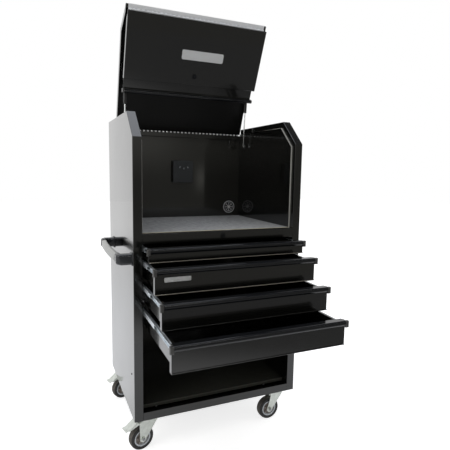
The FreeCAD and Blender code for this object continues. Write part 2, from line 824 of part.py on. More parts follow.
def lid_strut_studs():
    """Ears under the lid's skin, each with a stud through the eye of its strut. Drawn closed."""
    y = hinge_y - strut_lid_reach
    z = hinge_z - strut_lid_drop
    wall = liner_inner_x + strut_ear_gap
    front = y - strut_foot_height / 2
    rear = y + strut_foot_height / 2
    skin_z = top_z - sheet
    ear = block(wall, wall + strut_bracket_sheet, front, rear, z - strut_stud_collar_radius, skin_z)
    foot = block(wall, wall + strut_ear_foot, front, rear, skin_z - strut_bracket_sheet, skin_z)
    stud_tip = strut_x + strut_eye_thickness / 2 + strut_stud_end
    stud = cylinder_x(strut_stud_radius, wall, stud_tip, y, z)
    collar_tip = strut_x - strut_eye_thickness / 2 - strut_eye_gap
    collar = cylinder_x(strut_stud_collar_radius, wall, collar_tip, y, z)
    left = joined(ear, foot, collar, stud)
    return Part.makeCompound([left, mirrored(left)])


def handle_bracket():
    """Front bracket of the side handle: an oval post with an elbow turned towards the grip."""
    y = handle_front_y
    bottom = base_height + handle_z - handle_height / 2
    front = y - handle_post_width / 2
    rear = y + handle_post_width / 2
    tip = y + handle_elbow
    inner = handle_reach - handle_grip_thickness
    plan = [(0, front), (-handle_shoulder, front), (-handle_reach, y), (-handle_reach, tip),
            (-inner, tip), (-inner, rear), (0, rear)]
    solid = prism_z(plan, bottom, bottom + handle_height)

    def long_edges(edge):
        box = edge.BoundBox
        level = box.ZLength < flatness
        at_wall = box.XMin > -flatness
        at_tip = box.YMin > tip - flatness
        return level and not at_wall and not at_tip

    solid = rounded(solid, handle_edge_radius, long_edges)
    foot = block(-handle_foot, 0, front - handle_foot_margin, rear + handle_foot_margin,
                 bottom - handle_foot_margin, bottom + handle_height + handle_foot_margin)
    foot = rounded(foot, handle_edge_radius, lambda edge: along(edge, "X"))
    return joined(solid, foot)


def handle_brackets():
    front = handle_bracket()
    middle_y = (handle_front_y + handle_rear_y) / 2
    rear = front.mirror(Vector(0, middle_y, 0), Vector(0, 1, 0))
    return Part.makeCompound([front, rear])


def handle_grip():
    """Bowed bar between the two elbows."""
    start = handle_front_y + handle_elbow
    end = handle_rear_y - handle_elbow
    middle = (start + end) / 2
    bottom = base_height + handle_z - handle_grip_height / 2
    outer = -handle_reach
    inner = -handle_reach + handle_grip_thickness
    outer_arc = Part.Arc(Vector(outer, start, bottom), Vector(outer - handle_bow, middle, bottom),
                         Vector(outer, end, bottom)).toShape()
    inner_arc = Part.Arc(Vector(inner, end, bottom), Vector(inner - handle_bow, middle, bottom),
                         Vector(inner, start, bottom)).toShape()
    ends = [Part.makeLine(Vector(outer, end, bottom), Vector(inner, end, bottom)),
            Part.makeLine(Vector(inner, start, bottom), Vector(outer, start, bottom))]
    plan = Part.Face(Part.Wire([outer_arc, ends[0], inner_arc, ends[1]]))
    solid = plan.extrude(Vector(0, 0, handle_grip_height))
    return rounded(solid, handle_grip_radius, lambda edge: edge.BoundBox.ZLength < flatness
                   and edge.BoundBox.YLength > handle_grip_thickness)


def drawer_tops():
    """Height of the top edge of each drawer front, from the top one down."""
    tops = []
    z = rail_bottom_z - drawer_gap
    for height in drawer_heights:
        tops.append(z)
        z -= height + drawer_gap
    return tops


def drawer_body(top, height):
    """Pressed tray with a double front. Drawn closed."""
    left = drawer_left_x
    right = body_width - left
    bottom = top - height
    cover = top - pull_top
    front = block(left, right, 0, drawer_front_depth, bottom, cover)
    front = rounded(front, drawer_edge_radius, lambda edge: edge.BoundBox.YMax < flatness)
    gap = block(left + sheet, right - sheet, sheet, drawer_front_depth - sheet, bottom - margin,
                cover - sheet)
    lip = block(left, right, -drawer_foot_lip, 1, bottom, bottom + drawer_foot_lip_height)
    lip = rounded(lip, drawer_edge_radius, lambda edge: along(edge, "X") and edge.BoundBox.YMax < 0)
    box_left = box_side_x
    box_right = body_width - box_side_x
    floor_z = bottom + drawer_floor_rise
    wall_z = top - drawer_wall_drop
    tray = block(box_left, box_right, drawer_front_depth - margin, drawer_depth, floor_z, wall_z)
    room = block(box_left + sheet, box_right - sheet, drawer_front_depth - 2 * margin, drawer_depth - sheet,
                 floor_z + sheet, wall_z + margin)
    hem = block(box_left, box_left + drawer_hem, drawer_front_depth - margin, drawer_depth,
                wall_z - sheet, wall_z)
    rear_hem = block(box_left, box_right, drawer_depth - drawer_hem, drawer_depth, wall_z - sheet, wall_z)
    return joined(front.cut(gap), lip, tray.cut(room), hem, mirrored(hem), rear_hem)


def drawer_pull(top):
    """Bull-nose bar over the top of the front, and a cap over each end. Drawn closed."""
    left = drawer_left_x
    bar_left = left - cap_overhang + cap_width
    bar_right = body_width - bar_left
    strip = block(bar_left, bar_right, -margin, pull_top_depth, top - pull_top, top)
    nose = block(bar_left, bar_right, -pull_nose, 0, top - pull_height, top)
    nose = rounded(nose, pull_nose_radius, lambda edge: along(edge, "X") and edge.BoundBox.YMax < -1)
    core = block(bar_left - margin, bar_right + margin, -pull_nose + pull_wall, -pull_wall,
                 top - pull_height + pull_wall, top - pull_wall)
    core = rounded(core, pull_nose_radius - pull_wall, lambda edge: along(edge, "X")
                   and edge.BoundBox.YMax < -pull_wall - margin)
    bar = joined(strip, nose).cut(core)
    cap = block(left - cap_overhang, bar_left, -cap_nose, -cap_seat_gap, top - cap_height, top)
    cap = rounded(cap, cap_radius, lambda edge: edge.BoundBox.YMax < -cap_seat_gap - flatness)
    tongue = block(left, bar_left, -margin, cap_tongue, top - pull_top, top)
    back = block(left, bar_left, -margin, 0, top - cap_height, top)
    cap = joined(cap, tongue, back)
    return Part.makeCompound([bar, cap, mirrored(cap)])


def channel(x0, x1, half_height, z, web_at_start):
    """A slide member along Y: a web with a lip along each long edge."""
    end_y = slide_end_y
    top_lip = block(x0, x1, slide_setback, end_y, z + half_height - slide_sheet, z + half_height)
    bottom_lip = block(x0, x1, slide_setback, end_y, z - half_height, z - half_height + slide_sheet)
    if web_at_start:
        web = block(x0, x0 + slide_sheet, slide_setback, end_y, z - half_height, z + half_height)
    else:
        web = block(x1 - slide_sheet, x1, slide_setback, end_y, z - half_height, z + half_height)
    return joined(web, top_lip, bottom_lip)


def slide_outer(z):
    return channel(slide_start_x, slide_start_x + slide_outer_lip, slide_height / 2, z, True)


def slide_middle(z):
    half = slide_height / 2 - slide_sheet - slide_play
    return channel(slide_start_x + slide_middle_start, slide_start_x + slide_middle_end, half, z, True)


def slide_inner(z):
    half = slide_height / 2 - 2 * (slide_sheet + slide_play)
    return channel(slide_start_x + slide_inner_start, box_side_x, half, z, False)


def slide_outer_members():
    members = []
    for top in drawer_tops():
        left = slide_outer(top - slide_drop)
        members += [left, mirrored(left)]
    return Part.makeCompound(members)


def placed_caster(shape, corner):
    """Turns a caster piece about its own swivel axis, and moves it under its corner."""
    x, y = caster_centres()[corner]
    shape.rotate(Vector(0, 0, 0), Vector(0, 0, 1), caster_turns[corner])
    shape.translate(Vector(x, y, 0))
    return shape


def caster_plate(x, y):
    """Mounting plate with the upper race and the kingpin that the fork turns on."""
    plate = block(x - plate_length / 2, x + plate_length / 2, y - plate_width / 2, y + plate_width / 2,
                  base_height - plate_sheet, base_height)
    plate = rounded(plate, plate_corner, lambda edge: along(edge, "Z"))
    race = cylinder_z(race_radius, x, y, race_bottom_z, base_height - plate_sheet)
    race = rounded(race, race_edge, lambda edge: edge.BoundBox.ZMax < race_bottom_z + flatness)
    head_top = crown_bottom_z - race_gap
    pin = cylinder_z(kingpin_radius, x, y, head_top - kingpin_head, race_bottom_z + margin)
    head = cylinder_z(kingpin_head_radius, x, y, head_top - kingpin_head, head_top)
    return joined(plate, race, pin, head)


def caster_plates():
    plates = [caster_plate(x, y) for x, y in caster_centres().values()]
    return with_bolt_holes(Part.makeCompound(plates))


def caster_bolts():
    bolts = []
    for x, y in bolt_centres():
        corners = []
        for number in range(bolt_sides):
            turn = 2 * math.pi * number / bolt_sides
            corners.append((x + bolt_head_radius * math.cos(turn), y + bolt_head_radius * math.sin(turn)))
        under = base_height - plate_sheet
        head = prism_z(corners, under - bolt_head, under)
        shank = cylinder_z(bolt_radius, x, y, under - margin, under + bolt_length)
        bolts.append(joined(head, shank))
    return Part.makeCompound(bolts)


def fork_leg(rear):
    """One leg of the fork: a plate that narrows from the crown to a rounded foot about the axle."""
    foot_x = -wheel_trail
    skirt_z = crown_top_z - crown_skirt
    corners = [(leg_front, crown_top_z), (leg_front, skirt_z), (foot_x + leg_foot_radius, wheel_radius),
               (foot_x - leg_foot_radius, wheel_radius), (-rear + leg_waist, skirt_z), (-rear, skirt_z),
               (-rear, crown_top_z)]
    points = [Vector(x, 0, z) for x, z in corners]
    plate = Part.Face(Part.makePolygon(points + points[:1])).extrude(Vector(0, fork_leg_sheet, 0))
    foot = cylinder_y(leg_foot_radius, foot_x, 0, fork_leg_sheet, wheel_radius)
    return joined(plate, foot)


def caster_fork(corner):
    """Swivel fork with its lower race, with the axle bolt and any pedal pin as their own solids."""
    braked = corner in braked_casters
    rear = braked_rear if braked else leg_rear
    half = fork_inner_width / 2
    outer = half + fork_leg_sheet
    leg = fork_leg(rear)
    near = leg.translated(Vector(0, -outer, 0))
    far = leg.translated(Vector(0, half, 0))
    crown = block(-rear, leg_front, -outer, outer, crown_bottom_z, crown_top_z)
    disc = cylinder_z(crown_radius, 0, 0, crown_bottom_z, crown_top_z)
    race = cylinder_z(race_radius, 0, 0, crown_top_z - margin, fork_top_z)
    bore = cylinder_z(kingpin_radius + kingpin_play, 0, 0, crown_bottom_z - margin, fork_top_z + margin)
    axle_hole = cylinder_y(axle_radius, -wheel_trail, -outer - margin, outer + margin, wheel_radius)
    fork = joined(crown, disc, race, near, far).cut([bore, axle_hole])
    axle = cylinder_y(axle_radius, -wheel_trail, -outer, outer, wheel_radius)
    heads = [cylinder_y(axle_head_radius, -wheel_trail, -outer - axle_head, -outer, wheel_radius),
             cylinder_y(axle_head_radius, -wheel_trail, outer, outer + axle_head, wheel_radius)]
    solids = [fork, joined(axle, *heads)]
    if braked:
        solids.append(cylinder_y(pedal_pin_radius, -pedal_pivot_back, -half, half, pedal_pivot_z))
    return placed_caster(Part.makeCompound(solids), corner)


def turned(points, turn_x, turn_z):
    """A ring about the axle from (radius, y) points."""
    corners = [Vector(turn_x + radius, y, turn_z) for radius, y in points]
    face = Part.Face(Part.makePolygon(corners + corners[:1]))
    return face.revolve(Vector(turn_x, 0, turn_z), Vector(0, 1, 0), 360)


def caster_wheel(corner):
    """Rubber tyre on a rim with a dished web, as two solids."""
    half = wheel_width / 2
    groove = tyre_groove_width / 2
    tyre_outline = [(rim_radius, -half), (wheel_radius - wheel_shoulder, -half),
                    (wheel_radius, -half + wheel_shoulder)]
    for centre in (-half / 3, half / 3):
        tyre_outline += [(wheel_radius, centre - groove), (wheel_radius - tyre_groove, centre - groove),
                         (wheel_radius - tyre_groove, centre + groove), (wheel_radius, centre + groove)]
    tyre_outline += [(wheel_radius, half - wheel_shoulder), (wheel_radius - wheel_shoulder, half),
                     (rim_radius, half)]
    bore = axle_radius + axle_play
    rim_half = rim_width / 2
    web_half = rim_web / 2
    hub_half = hub_width / 2
    rim_outline = [(bore, -hub_half), (hub_radius, -hub_half), (hub_radius, -web_half),
                   (rim_radius - rim_lip, -web_half), (rim_radius - rim_lip, -rim_half),
                   (rim_radius, -rim_half), (rim_radius, rim_half), (rim_radius - rim_lip, rim_half),
                   (rim_radius - rim_lip, web_half), (hub_radius, web_half), (hub_radius, hub_half),
                   (bore, hub_half)]
    tyre = turned(tyre_outline, -wheel_trail, wheel_radius)
    rim = turned(rim_outline, -wheel_trail, wheel_radius)
    return placed_caster(Part.makeCompound([tyre, rim]), corner)


def brake_pedal(corner):
    """Foot pedal on its cross pin: a sloping plate with a toe lip and two cheeks."""
    half = pedal_width / 2
    cheek_outer = fork_inner_width / 2 - pedal_cheek_gap
    high_x = -braked_rear - pedal_housing_gap
    high_z = pedal_pivot_z + pedal_rise
    low_x = high_x - pedal_slope_length
    low_z = high_z - pedal_slope_drop
    toe_x = low_x - pedal_toe
    toe_z = low_z - pedal_toe_drop
    section = [(high_x, high_z), (low_x, low_z), (toe_x, toe_z), (toe_x, toe_z - pedal_sheet),
               (low_x, low_z - pedal_sheet), (high_x, high_z - pedal_sheet)]
    points = [Vector(x, -half, z) for x, z in section]
    plate = Part.Face(Part.makePolygon(points + points[:1])).extrude(Vector(0, pedal_width, 0))
    nose_x = -pedal_pivot_back + pedal_cheek_nose
    cheek_section = [(nose_x, pedal_pivot_z + pedal_cheek_nose), (high_x, high_z - pedal_sheet / 2),
                     (low_x, low_z - pedal_sheet / 2), (low_x, low_z - pedal_cheek_depth),
                     (nose_x, pedal_pivot_z - pedal_cheek_nose)]
    cheeks = []
    for y in (-cheek_outer, cheek_outer - pedal_cheek):
        points = [Vector(x, y, z) for x, z in cheek_section]
        face = Part.Face(Part.makePolygon(points + points[:1]))
        cheeks.append(face.extrude(Vector(0, pedal_cheek, 0)))
    hole = cylinder_y(pedal_pin_radius + pedal_pin_play, -pedal_pivot_back, -half, half, pedal_pivot_z)
    return placed_caster(joined(plate, *cheeks).cut(hole), corner)


def opened_lid(shape):
    """Turns a piece of the lid from closed to fully open."""
    shape.rotate(Vector(0, hinge_y, hinge_z), Vector(-1, 0, 0), lid_open_angle)
    return shape


def folded_door(shape):
    """Folds a piece of the door in under the lid, then opens it with the lid."""
    shape.rotate(Vector(0, door_hinge_y, door_hinge_z), Vector(-1, 0, 0), -door_fold_angle)
    return opened_lid(shape)


def shifted(shape, distance):
    """Pulls a drawer piece forwards."""
    shape.translate(Vector(0, -distance, 0))
    return shape


def all_pieces():
    side = left_side_panel()
    liner = hutch_liner_left()
    pieces = {
        "left_side_panel": side,
        "right_side_panel": mirrored(side),
        "back_panel": back_panel(),
        "base_pan": base_pan(),
        "lower_shelf": lower_shelf(),
        "inner_side_panels": inner_side_panels(),
        "hutch_liner_left": liner,
        "hutch_liner_right": mirrored(liner),
        "lock_rail": lock_rail(),
        "hutch_deck": hutch_deck(),
        "deck_mat": deck_mat(),
        "rear_header_rail": rear_header_rail(),
        "power_outlet": power_outlet(),
        "cable_grommet": cable_grommet(),
        "handle_brackets": handle_brackets(),
        "handle_grip": handle_grip(),
        "strut_brackets": strut_brackets(),
        "slide_outer_members": slide_outer_members(),
        "caster_plates": caster_plates(),
        "caster_bolts": caster_bolts(),
        "drawer_lock_housing": lock_housing(drawer_lock_z),
        "drawer_lock_cylinder": lock_cylinder(drawer_lock_z, lock_length),
        "lid_hinge_fixed_leaf": lid_hinge_fixed_leaf(),
        "lid_hinge_moving_leaf": opened_lid(lid_hinge_moving_leaf()),
        "lid_panel": opened_lid(lid_panel()),
        "lid_strut_studs": opened_lid(lid_strut_studs()),
        "door_hinge_lid_leaf": opened_lid(door_hinge_lid_leaf()),
        "door_hinge_door_leaf": folded_door(door_hinge_door_leaf()),
        "door_panel": folded_door(door_panel()),
        "door_pull": folded_door(door_pull()),
        "door_lock_housing": folded_door(lock_housing(door_lock_z)),
        "door_lock_cylinder": folded_door(lock_cylinder(door_lock_z, lock_length)),
        "strut_rods": strut_rods(),
        "strut_tubes": strut_tubes(),
    }
    drawers = zip(drawer_tops(), drawer_heights, drawer_openings)
    for number, (top, height, opening) in enumerate(drawers, start=1):
        name = "drawer_" + str(number)
        slide_z = top - slide_drop
        middle = shifted(slide_middle(slide_z), opening / 2)
        inner = shifted(slide_inner(slide_z), opening)
        pieces[name + "_body"] = shifted(drawer_body(top, height), opening)
        pieces[name + "_pull"] = shifted(drawer_pull(top), opening)
        pieces[name + "_inner_slides"] = Part.makeCompound([inner, mirrored(inner)])
        pieces[name + "_middle_slides"] = Part.makeCompound([middle, mirrored(middle)])
    for corner in caster_turns:
        pieces["caster_fork_" + corner] = caster_fork(corner)
        pieces["caster_wheel_" + corner] = caster_wheel(corner)
    for corner in braked_casters:
        pieces["brake_pedal_" + corner] = brake_pedal(corner)
    return pieces


# The finished trolley stands with the middle of its footprint, as photographed, on the origin.
pieces = all_pieces()
extent = Part.makeCompound(list(pieces.values())).BoundBox
origin_shift = Vector(-extent.Center.x, -extent.Center.y, -extent.ZMin)
for name, shape in pieces.items():
    shape.translate(origin_shift)
    shape.exportStep("parts/" + name + ".step")
print(len(pieces), "pieces; origin moved by", origin_shift)
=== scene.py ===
import json
import math

import bmesh
import bpy
from mathutils import Matrix, Vector


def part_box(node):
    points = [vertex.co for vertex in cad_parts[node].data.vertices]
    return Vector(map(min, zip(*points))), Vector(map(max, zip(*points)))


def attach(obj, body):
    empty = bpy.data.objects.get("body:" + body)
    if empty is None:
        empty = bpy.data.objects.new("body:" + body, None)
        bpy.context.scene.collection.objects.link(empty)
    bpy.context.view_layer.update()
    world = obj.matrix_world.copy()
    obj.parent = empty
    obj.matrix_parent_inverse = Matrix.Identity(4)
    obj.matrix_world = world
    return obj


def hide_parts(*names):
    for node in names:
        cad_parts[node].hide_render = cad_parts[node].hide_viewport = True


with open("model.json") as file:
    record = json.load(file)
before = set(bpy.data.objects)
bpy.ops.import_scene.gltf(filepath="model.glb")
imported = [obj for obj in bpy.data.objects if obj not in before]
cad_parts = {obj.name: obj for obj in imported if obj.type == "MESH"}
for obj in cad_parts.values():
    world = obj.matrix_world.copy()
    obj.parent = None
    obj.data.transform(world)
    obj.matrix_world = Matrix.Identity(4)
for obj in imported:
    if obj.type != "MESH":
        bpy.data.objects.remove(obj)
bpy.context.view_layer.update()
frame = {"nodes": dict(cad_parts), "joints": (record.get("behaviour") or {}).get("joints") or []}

# Camera. It stands a little left of the trolley and just below the open hutch's roof,
# 1.9 m back, where the lens gives the photograph's framing.
cabinet_low, cabinet_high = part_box("back_panel")
front_left_x = cabinet_low.x
front_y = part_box("left_side_panel")[0].y
camera_left = 0.3206
camera_back = 1.5955
camera_height = 1.1352
camera_yaw = math.radians(23.5)
camera_pitch = math.radians(-7.1)
camera_roll = math.radians(1.0)
camera_data = bpy.data.cameras.new("camera")
camera_data.sensor_width = 36.0
camera_data.lens = 34.5
camera = bpy.data.objects.new("camera", camera_data)
bpy.context.scene.collection.objects.link(camera)
ahead = Vector((math.sin(camera_yaw) * math.cos(camera_pitch),
                math.cos(camera_yaw) * math.cos(camera_pitch), math.sin(camera_pitch)))
level = Vector((math.cos(camera_yaw), -math.sin(camera_yaw), 0.0))
upright = level.cross(ahead)
side = level * math.cos(camera_roll) + upright * math.sin(camera_roll)
top = upright * math.cos(camera_roll) - level * math.sin(camera_roll)
turn = Matrix((side, top, -ahead)).transposed().to_4x4()
place = Vector((front_left_x - camera_left, front_y - camera_back, camera_height))
camera.matrix_world = Matrix.Translation(place) @ turn
bpy.context.scene.camera = camera
bpy.context.scene.view_settings.view_transform = "Standard"


# Studio. A white seamless floor and surround, one wide soft box overhead, a smaller one at the
# left, and in front, behind the camera, dark cloths such as are hung before black gloss. The
# cloths show only in reflections.
def linear(code):
    """An sRGB hex colour as linear RGBA."""
    channels = [int(code[place:place + 2], 16) / 255 for place in (1, 3, 5)]
    return [c / 12.92 if c <= 0.04045 else ((c + 0.055) / 1.055) ** 2.4 for c in channels] + [1.0]


def node(tree, kind, settings=None, inputs=None, links=None):
    """Adds one node, sets its properties and sockets, and links other nodes' outputs to it."""
    made = tree.nodes.new(kind)
    for name, value in (settings or {}).items():
        setattr(made, name, value)
    for socket, value in (inputs or {}).items():
        made.inputs[socket].default_value = value
    for socket, source in (links or {}).items():
        tree.links.new(source, made.inputs[socket])
    return made


def empty_material(name):
    made = bpy.data.materials.new(name)
    made.use_nodes = True
    made.node_tree.nodes.clear()
    return made, made.node_tree


def flat_stage(name, corners, material):
    mesh = bpy.data.meshes.new(name)
    mesh.from_pydata(corners, [], [list(range(len(corners)))])
    sheet = bpy.data.objects.new(name, mesh)
    bpy.context.scene.collection.objects.link(sheet)
    mesh.materials.append(material)
    return sheet


floor_reach = 14.0
floor_lift = 0.72
mirrored_lift = 0.36
far_mirrored_lift = 0.56
lift_near = 2.5
lift_far = 7.5
floor_paint, tree = empty_material("matt white floor paint")
speckle = node(tree, "ShaderNodeTexNoise", inputs={"Scale": 6.0, "Detail": 2.0})
tone = node(tree, "ShaderNodeMapRange", inputs={"To Min": 0.80, "To Max": 0.83},
            links={"Value": speckle.outputs["Fac"]})
paint = node(tree, "ShaderNodeBsdfDiffuse", links={"Color": tone.outputs["Result"]})
path = node(tree, "ShaderNodeLightPath")
clear = node(tree, "ShaderNodeMath", {"operation": "MAXIMUM"},
             links={0: path.outputs["Is Camera Ray"], 1: path.outputs["Is Transmission Ray"]})
seen = node(tree, "ShaderNodeMath", {"operation": "MULTIPLY"}, {1: floor_lift}, {0: clear.outputs[0]})
spot = node(tree, "ShaderNodeTexCoord")
apart = node(tree, "ShaderNodeSeparateXYZ", links={"Vector": spot.outputs["Object"]})
mirrored = node(tree, "ShaderNodeMapRange", {"interpolation_type": "SMOOTHSTEP"},
                {"From Min": lift_near, "From Max": lift_far, "To Min": mirrored_lift,
                 "To Max": far_mirrored_lift}, {"Value": apart.outputs["Y"]})
lift = node(tree, "ShaderNodeMath", {"operation": "MULTIPLY_ADD"},
            links={0: path.outputs["Is Glossy Ray"], 1: mirrored.outputs["Result"], 2: seen.outputs[0]})
glow = node(tree, "ShaderNodeEmission", links={"Strength": lift.outputs[0]})
both = node(tree, "ShaderNodeAddShader", links={0: paint.outputs["BSDF"], 1: glow.outputs["Emission"]})
node(tree, "ShaderNodeOutputMaterial", links={"Surface": both.outputs["Shader"]})
flat_stage("floor", [(-floor_reach, -floor_reach, 0), (floor_reach, -floor_reach, 0),
                     (floor_reach, floor_reach, 0), (-floor_reach, floor_reach, 0)], floor_paint)

cloth_start = 1.15
cloth_distance = 2.6
cloth_half_width = 3.6
cloth_height = 2.6
cloth_lift = 0.002
roof_reach = 0.02
flap_left = 0.75
flap_reach = 0.75
edge_slant = 0.5
edge_near = 1.25
edge_far = 2.05
gap_x = 1.3
gap_half_width = 0.11
gap_low = 0.78
gap_high = 1.3
gap_strength = 0.5
wall_cloth, tree = empty_material("dark flag cloth on a stand")
spot = node(tree, "ShaderNodeTexCoord")
apart = node(tree, "ShaderNodeSeparateXYZ", links={"Vector": spot.outputs["Object"]})
low_part = node(tree, "ShaderNodeMapRange", {"interpolation_type": "SMOOTHSTEP"},
                {"From Min": 0.45, "From Max": 0.8, "To Min": 0.235, "To Max": 0.165},
                {"Value": apart.outputs["Z"]})
upper = node(tree, "ShaderNodeMapRange", {"interpolation_type": "SMOOTHSTEP"},
             {"From Min": 1.0, "From Max": 1.5, "To Min": 0.0, "To Max": 0.3}, {"Value": apart.outputs["Z"]})
leftward = node(tree, "ShaderNodeMapRange", {"interpolation_type": "SMOOTHSTEP"},
                {"From Min": 0.5, "From Max": 1.25, "To Min": 1.0, "To Max": 0.1}, {"Value": apart.outputs["X"]})
shade = node(tree, "ShaderNodeMath", {"operation": "MULTIPLY_ADD"},
             links={0: upper.outputs["Result"], 1: leftward.outputs["Result"], 2: low_part.outputs["Result"]})
aside = node(tree, "ShaderNodeMath", {"operation": "SUBTRACT"}, {1: gap_x}, {0: apart.outputs["X"]})
off_centre = node(tree, "ShaderNodeMath", {"operation": "ABSOLUTE"}, links={0: aside.outputs[0]})
across = node(tree, "ShaderNodeMapRange", {"interpolation_type": "SMOOTHSTEP"},
              {"From Min": 0.0, "From Max": gap_half_width, "To Min": gap_strength, "To Max": 0.0},
              {"Value": off_centre.outputs[0]})
raised = node(tree, "ShaderNodeMath", {"operation": "SUBTRACT"}, {1: (gap_low + gap_high) / 2},
              {0: apart.outputs["Z"]})
off_height = node(tree, "ShaderNodeMath", {"operation": "ABSOLUTE"}, links={0: raised.outputs[0]})
along = node(tree, "ShaderNodeMapRange", {"interpolation_type": "SMOOTHSTEP"},
             {"From Min": 0.0, "From Max": (gap_high - gap_low) / 2, "To Min": 1.0, "To Max": 0.0},
             {"Value": off_height.outputs[0]})
glow_level = node(tree, "ShaderNodeMath", {"operation": "MULTIPLY_ADD"},
                  links={0: across.outputs["Result"], 1: along.outputs["Result"], 2: shade.outputs[0]})
glow = node(tree, "ShaderNodeEmission", inputs={"Color": linear("#fffdf4")},
            links={"Strength": glow_level.outputs[0]})
node(tree, "ShaderNodeOutputMaterial", links={"Surface": glow.outputs["Emission"]})
strip_y = -1.85
strip_half_depth = 0.075
roof_cloth, tree = empty_material("dark cloth overhead with a light strip")
spot = node(tree, "ShaderNodeTexCoord")
apart = node(tree, "ShaderNodeSeparateXYZ", links={"Vector": spot.outputs["Object"]})
behind = node(tree, "ShaderNodeMath", {"operation": "SUBTRACT"}, {1: strip_y}, {0: apart.outputs["Y"]})
off_line = node(tree, "ShaderNodeMath", {"operation": "ABSOLUTE"}, links={0: behind.outputs[0]})
strip = node(tree, "ShaderNodeMapRange", {"interpolation_type": "SMOOTHSTEP"},
             {"From Min": 0.0, "From Max": strip_half_depth, "To Min": 18.0, "To Max": 0.0},
             {"Value": off_line.outputs[0]})
fading = node(tree, "ShaderNodeMapRange", {"interpolation_type": "SMOOTHSTEP"},
              {"From Min": 0.2, "From Max": 1.5, "To Min": 1.0, "To Max": 0.25}, {"Value": apart.outputs["X"]})
glow_level = node(tree, "ShaderNodeMath", {"operation": "MULTIPLY_ADD"}, {2: 0.09},
                  {0: strip.outputs["Result"], 1: fading.outputs["Result"]})
glow = node(tree, "ShaderNodeEmission", links={"Strength": glow_level.outputs[0]})
node(tree, "ShaderNodeOutputMaterial", links={"Surface": glow.outputs["Emission"]})
floor_cloth, tree = empty_material("dark cloth on the floor, fading into it")
spot = node(tree, "ShaderNodeTexCoord")
apart = node(tree, "ShaderNodeSeparateXYZ", links={"Vector": spot.outputs["Object"]})
slanted = node(tree, "ShaderNodeMath", {"operation": "MULTIPLY"}, {1: edge_slant}, {0: apart.outputs["X"]})
reach = node(tree, "ShaderNodeMath", {"operation": "SUBTRACT"}, links={0: slanted.outputs[0], 1: apart.outputs["Y"]})
fade = node(tree, "ShaderNodeMapRange", {"interpolation_type": "SMOOTHSTEP"},
            {"From Min": edge_near, "From Max": edge_far, "To Min": 1.05, "To Max": 0.24},
            {"Value": reach.outputs[0]})
glow = node(tree, "ShaderNodeEmission", links={"Strength": fade.outputs["Result"]})
node(tree, "ShaderNodeOutputMaterial", links={"Surface": glow.outputs["Emission"]})
cloth_y = front_y - cloth_distance
cloths = [flat_stage("flag", [(-cloth_half_width, cloth_y, 0), (cloth_half_width, cloth_y, 0),
                              (cloth_half_width, cloth_y, cloth_height),
                              (-cloth_half_width, cloth_y, cloth_height)], wall_cloth),
          flat_stage("floor_cloth", [(-cloth_half_width, cloth_y, cloth_lift),
                                     (cloth_half_width, cloth_y, cloth_lift),
                                     (cloth_half_width, front_y - cloth_start, cloth_lift),
                                     (-cloth_half_width, front_y - cloth_start, cloth_lift)], floor_cloth),
          flat_stage("roof_cloth", [(-cloth_half_width, cloth_y, cloth_height),
                                    (cloth_half_width, cloth_y, cloth_height),
                                    (cloth_half_width, front_y + flap_reach, cloth_height),
                                    (flap_left, front_y + flap_reach, cloth_height),
                                    (flap_left, front_y - roof_reach, cloth_height),
                                    (-cloth_half_width, front_y - roof_reach, cloth_height)], roof_cloth)]
for sheet in cloths:
    sheet.visible_camera = False
    sheet.visible_diffuse = False
    sheet.visible_transmission = False
    sheet.visible_shadow = False

world = bpy.data.worlds.new("studio")
bpy.context.scene.world = world
world.use_nodes = True
tree = world.node_tree
tree.nodes.clear()
path = node(tree, "ShaderNodeLightPath")
seen = node(tree, "ShaderNodeMath", {"operation": "MAXIMUM"},
            links={0: path.outputs["Is Camera Ray"], 1: path.outputs["Is Glossy Ray"]})
clear = node(tree, "ShaderNodeMath", {"operation": "MAXIMUM"},
             links={0: seen.outputs[0], 1: path.outputs["Is Transmission Ray"]})
strength = node(tree, "ShaderNodeMapRange", inputs={"To Min": 0.6, "To Max": 1.0},
                links={"Value": clear.outputs[0]})
background = node(tree, "ShaderNodeBackground", inputs={"Color": linear("#ffffff")},
                  links={"Strength": strength.outputs["Result"]})
node(tree, "ShaderNodeOutputWorld", links={"Surface": background.outputs["Background"]})


def soft_box(name, place, aim, width, height, watts, colour):
    data = bpy.data.lights.new(name, "AREA")
    data.shape = "RECTANGLE"
    data.size = width
    data.size_y = height
    data.energy = watts
    data.color = linear(colour)[:3]
    lamp = bpy.data.objects.new(name, data)
    bpy.context.scene.collection.objects.link(lamp)
    lamp.location = place
    lamp.rotation_euler = (Vector(aim) - Vector(place)).to_track_quat("-Z", "Y").to_euler()


soft_box("overhead", (-0.1, 0.2, 3.4), (-0.1, 0.2, 0.0), 3.8, 3.2, 42.0, "#e6eeff")
soft_box("left", (-2.6, -1.0, 2.2), (0.0, 0.1, 0.9), 1.2, 1.6, 16.0, "#fffdf8")


# Cabinet, lid, door and drawer boxes. They are folded from 1.2 mm mild steel, spot welded, and
# powder coated in gloss black, which leaves a very slight orange peel under a mirror shine.
def dress(name, material):
    slots = frame["nodes"][name].data.materials
    slots.clear()
    slots.append(material)


joints = {joint["name"]: joint for joint in frame["joints"]}
peel_size = 0.004
smear_size = 0.2


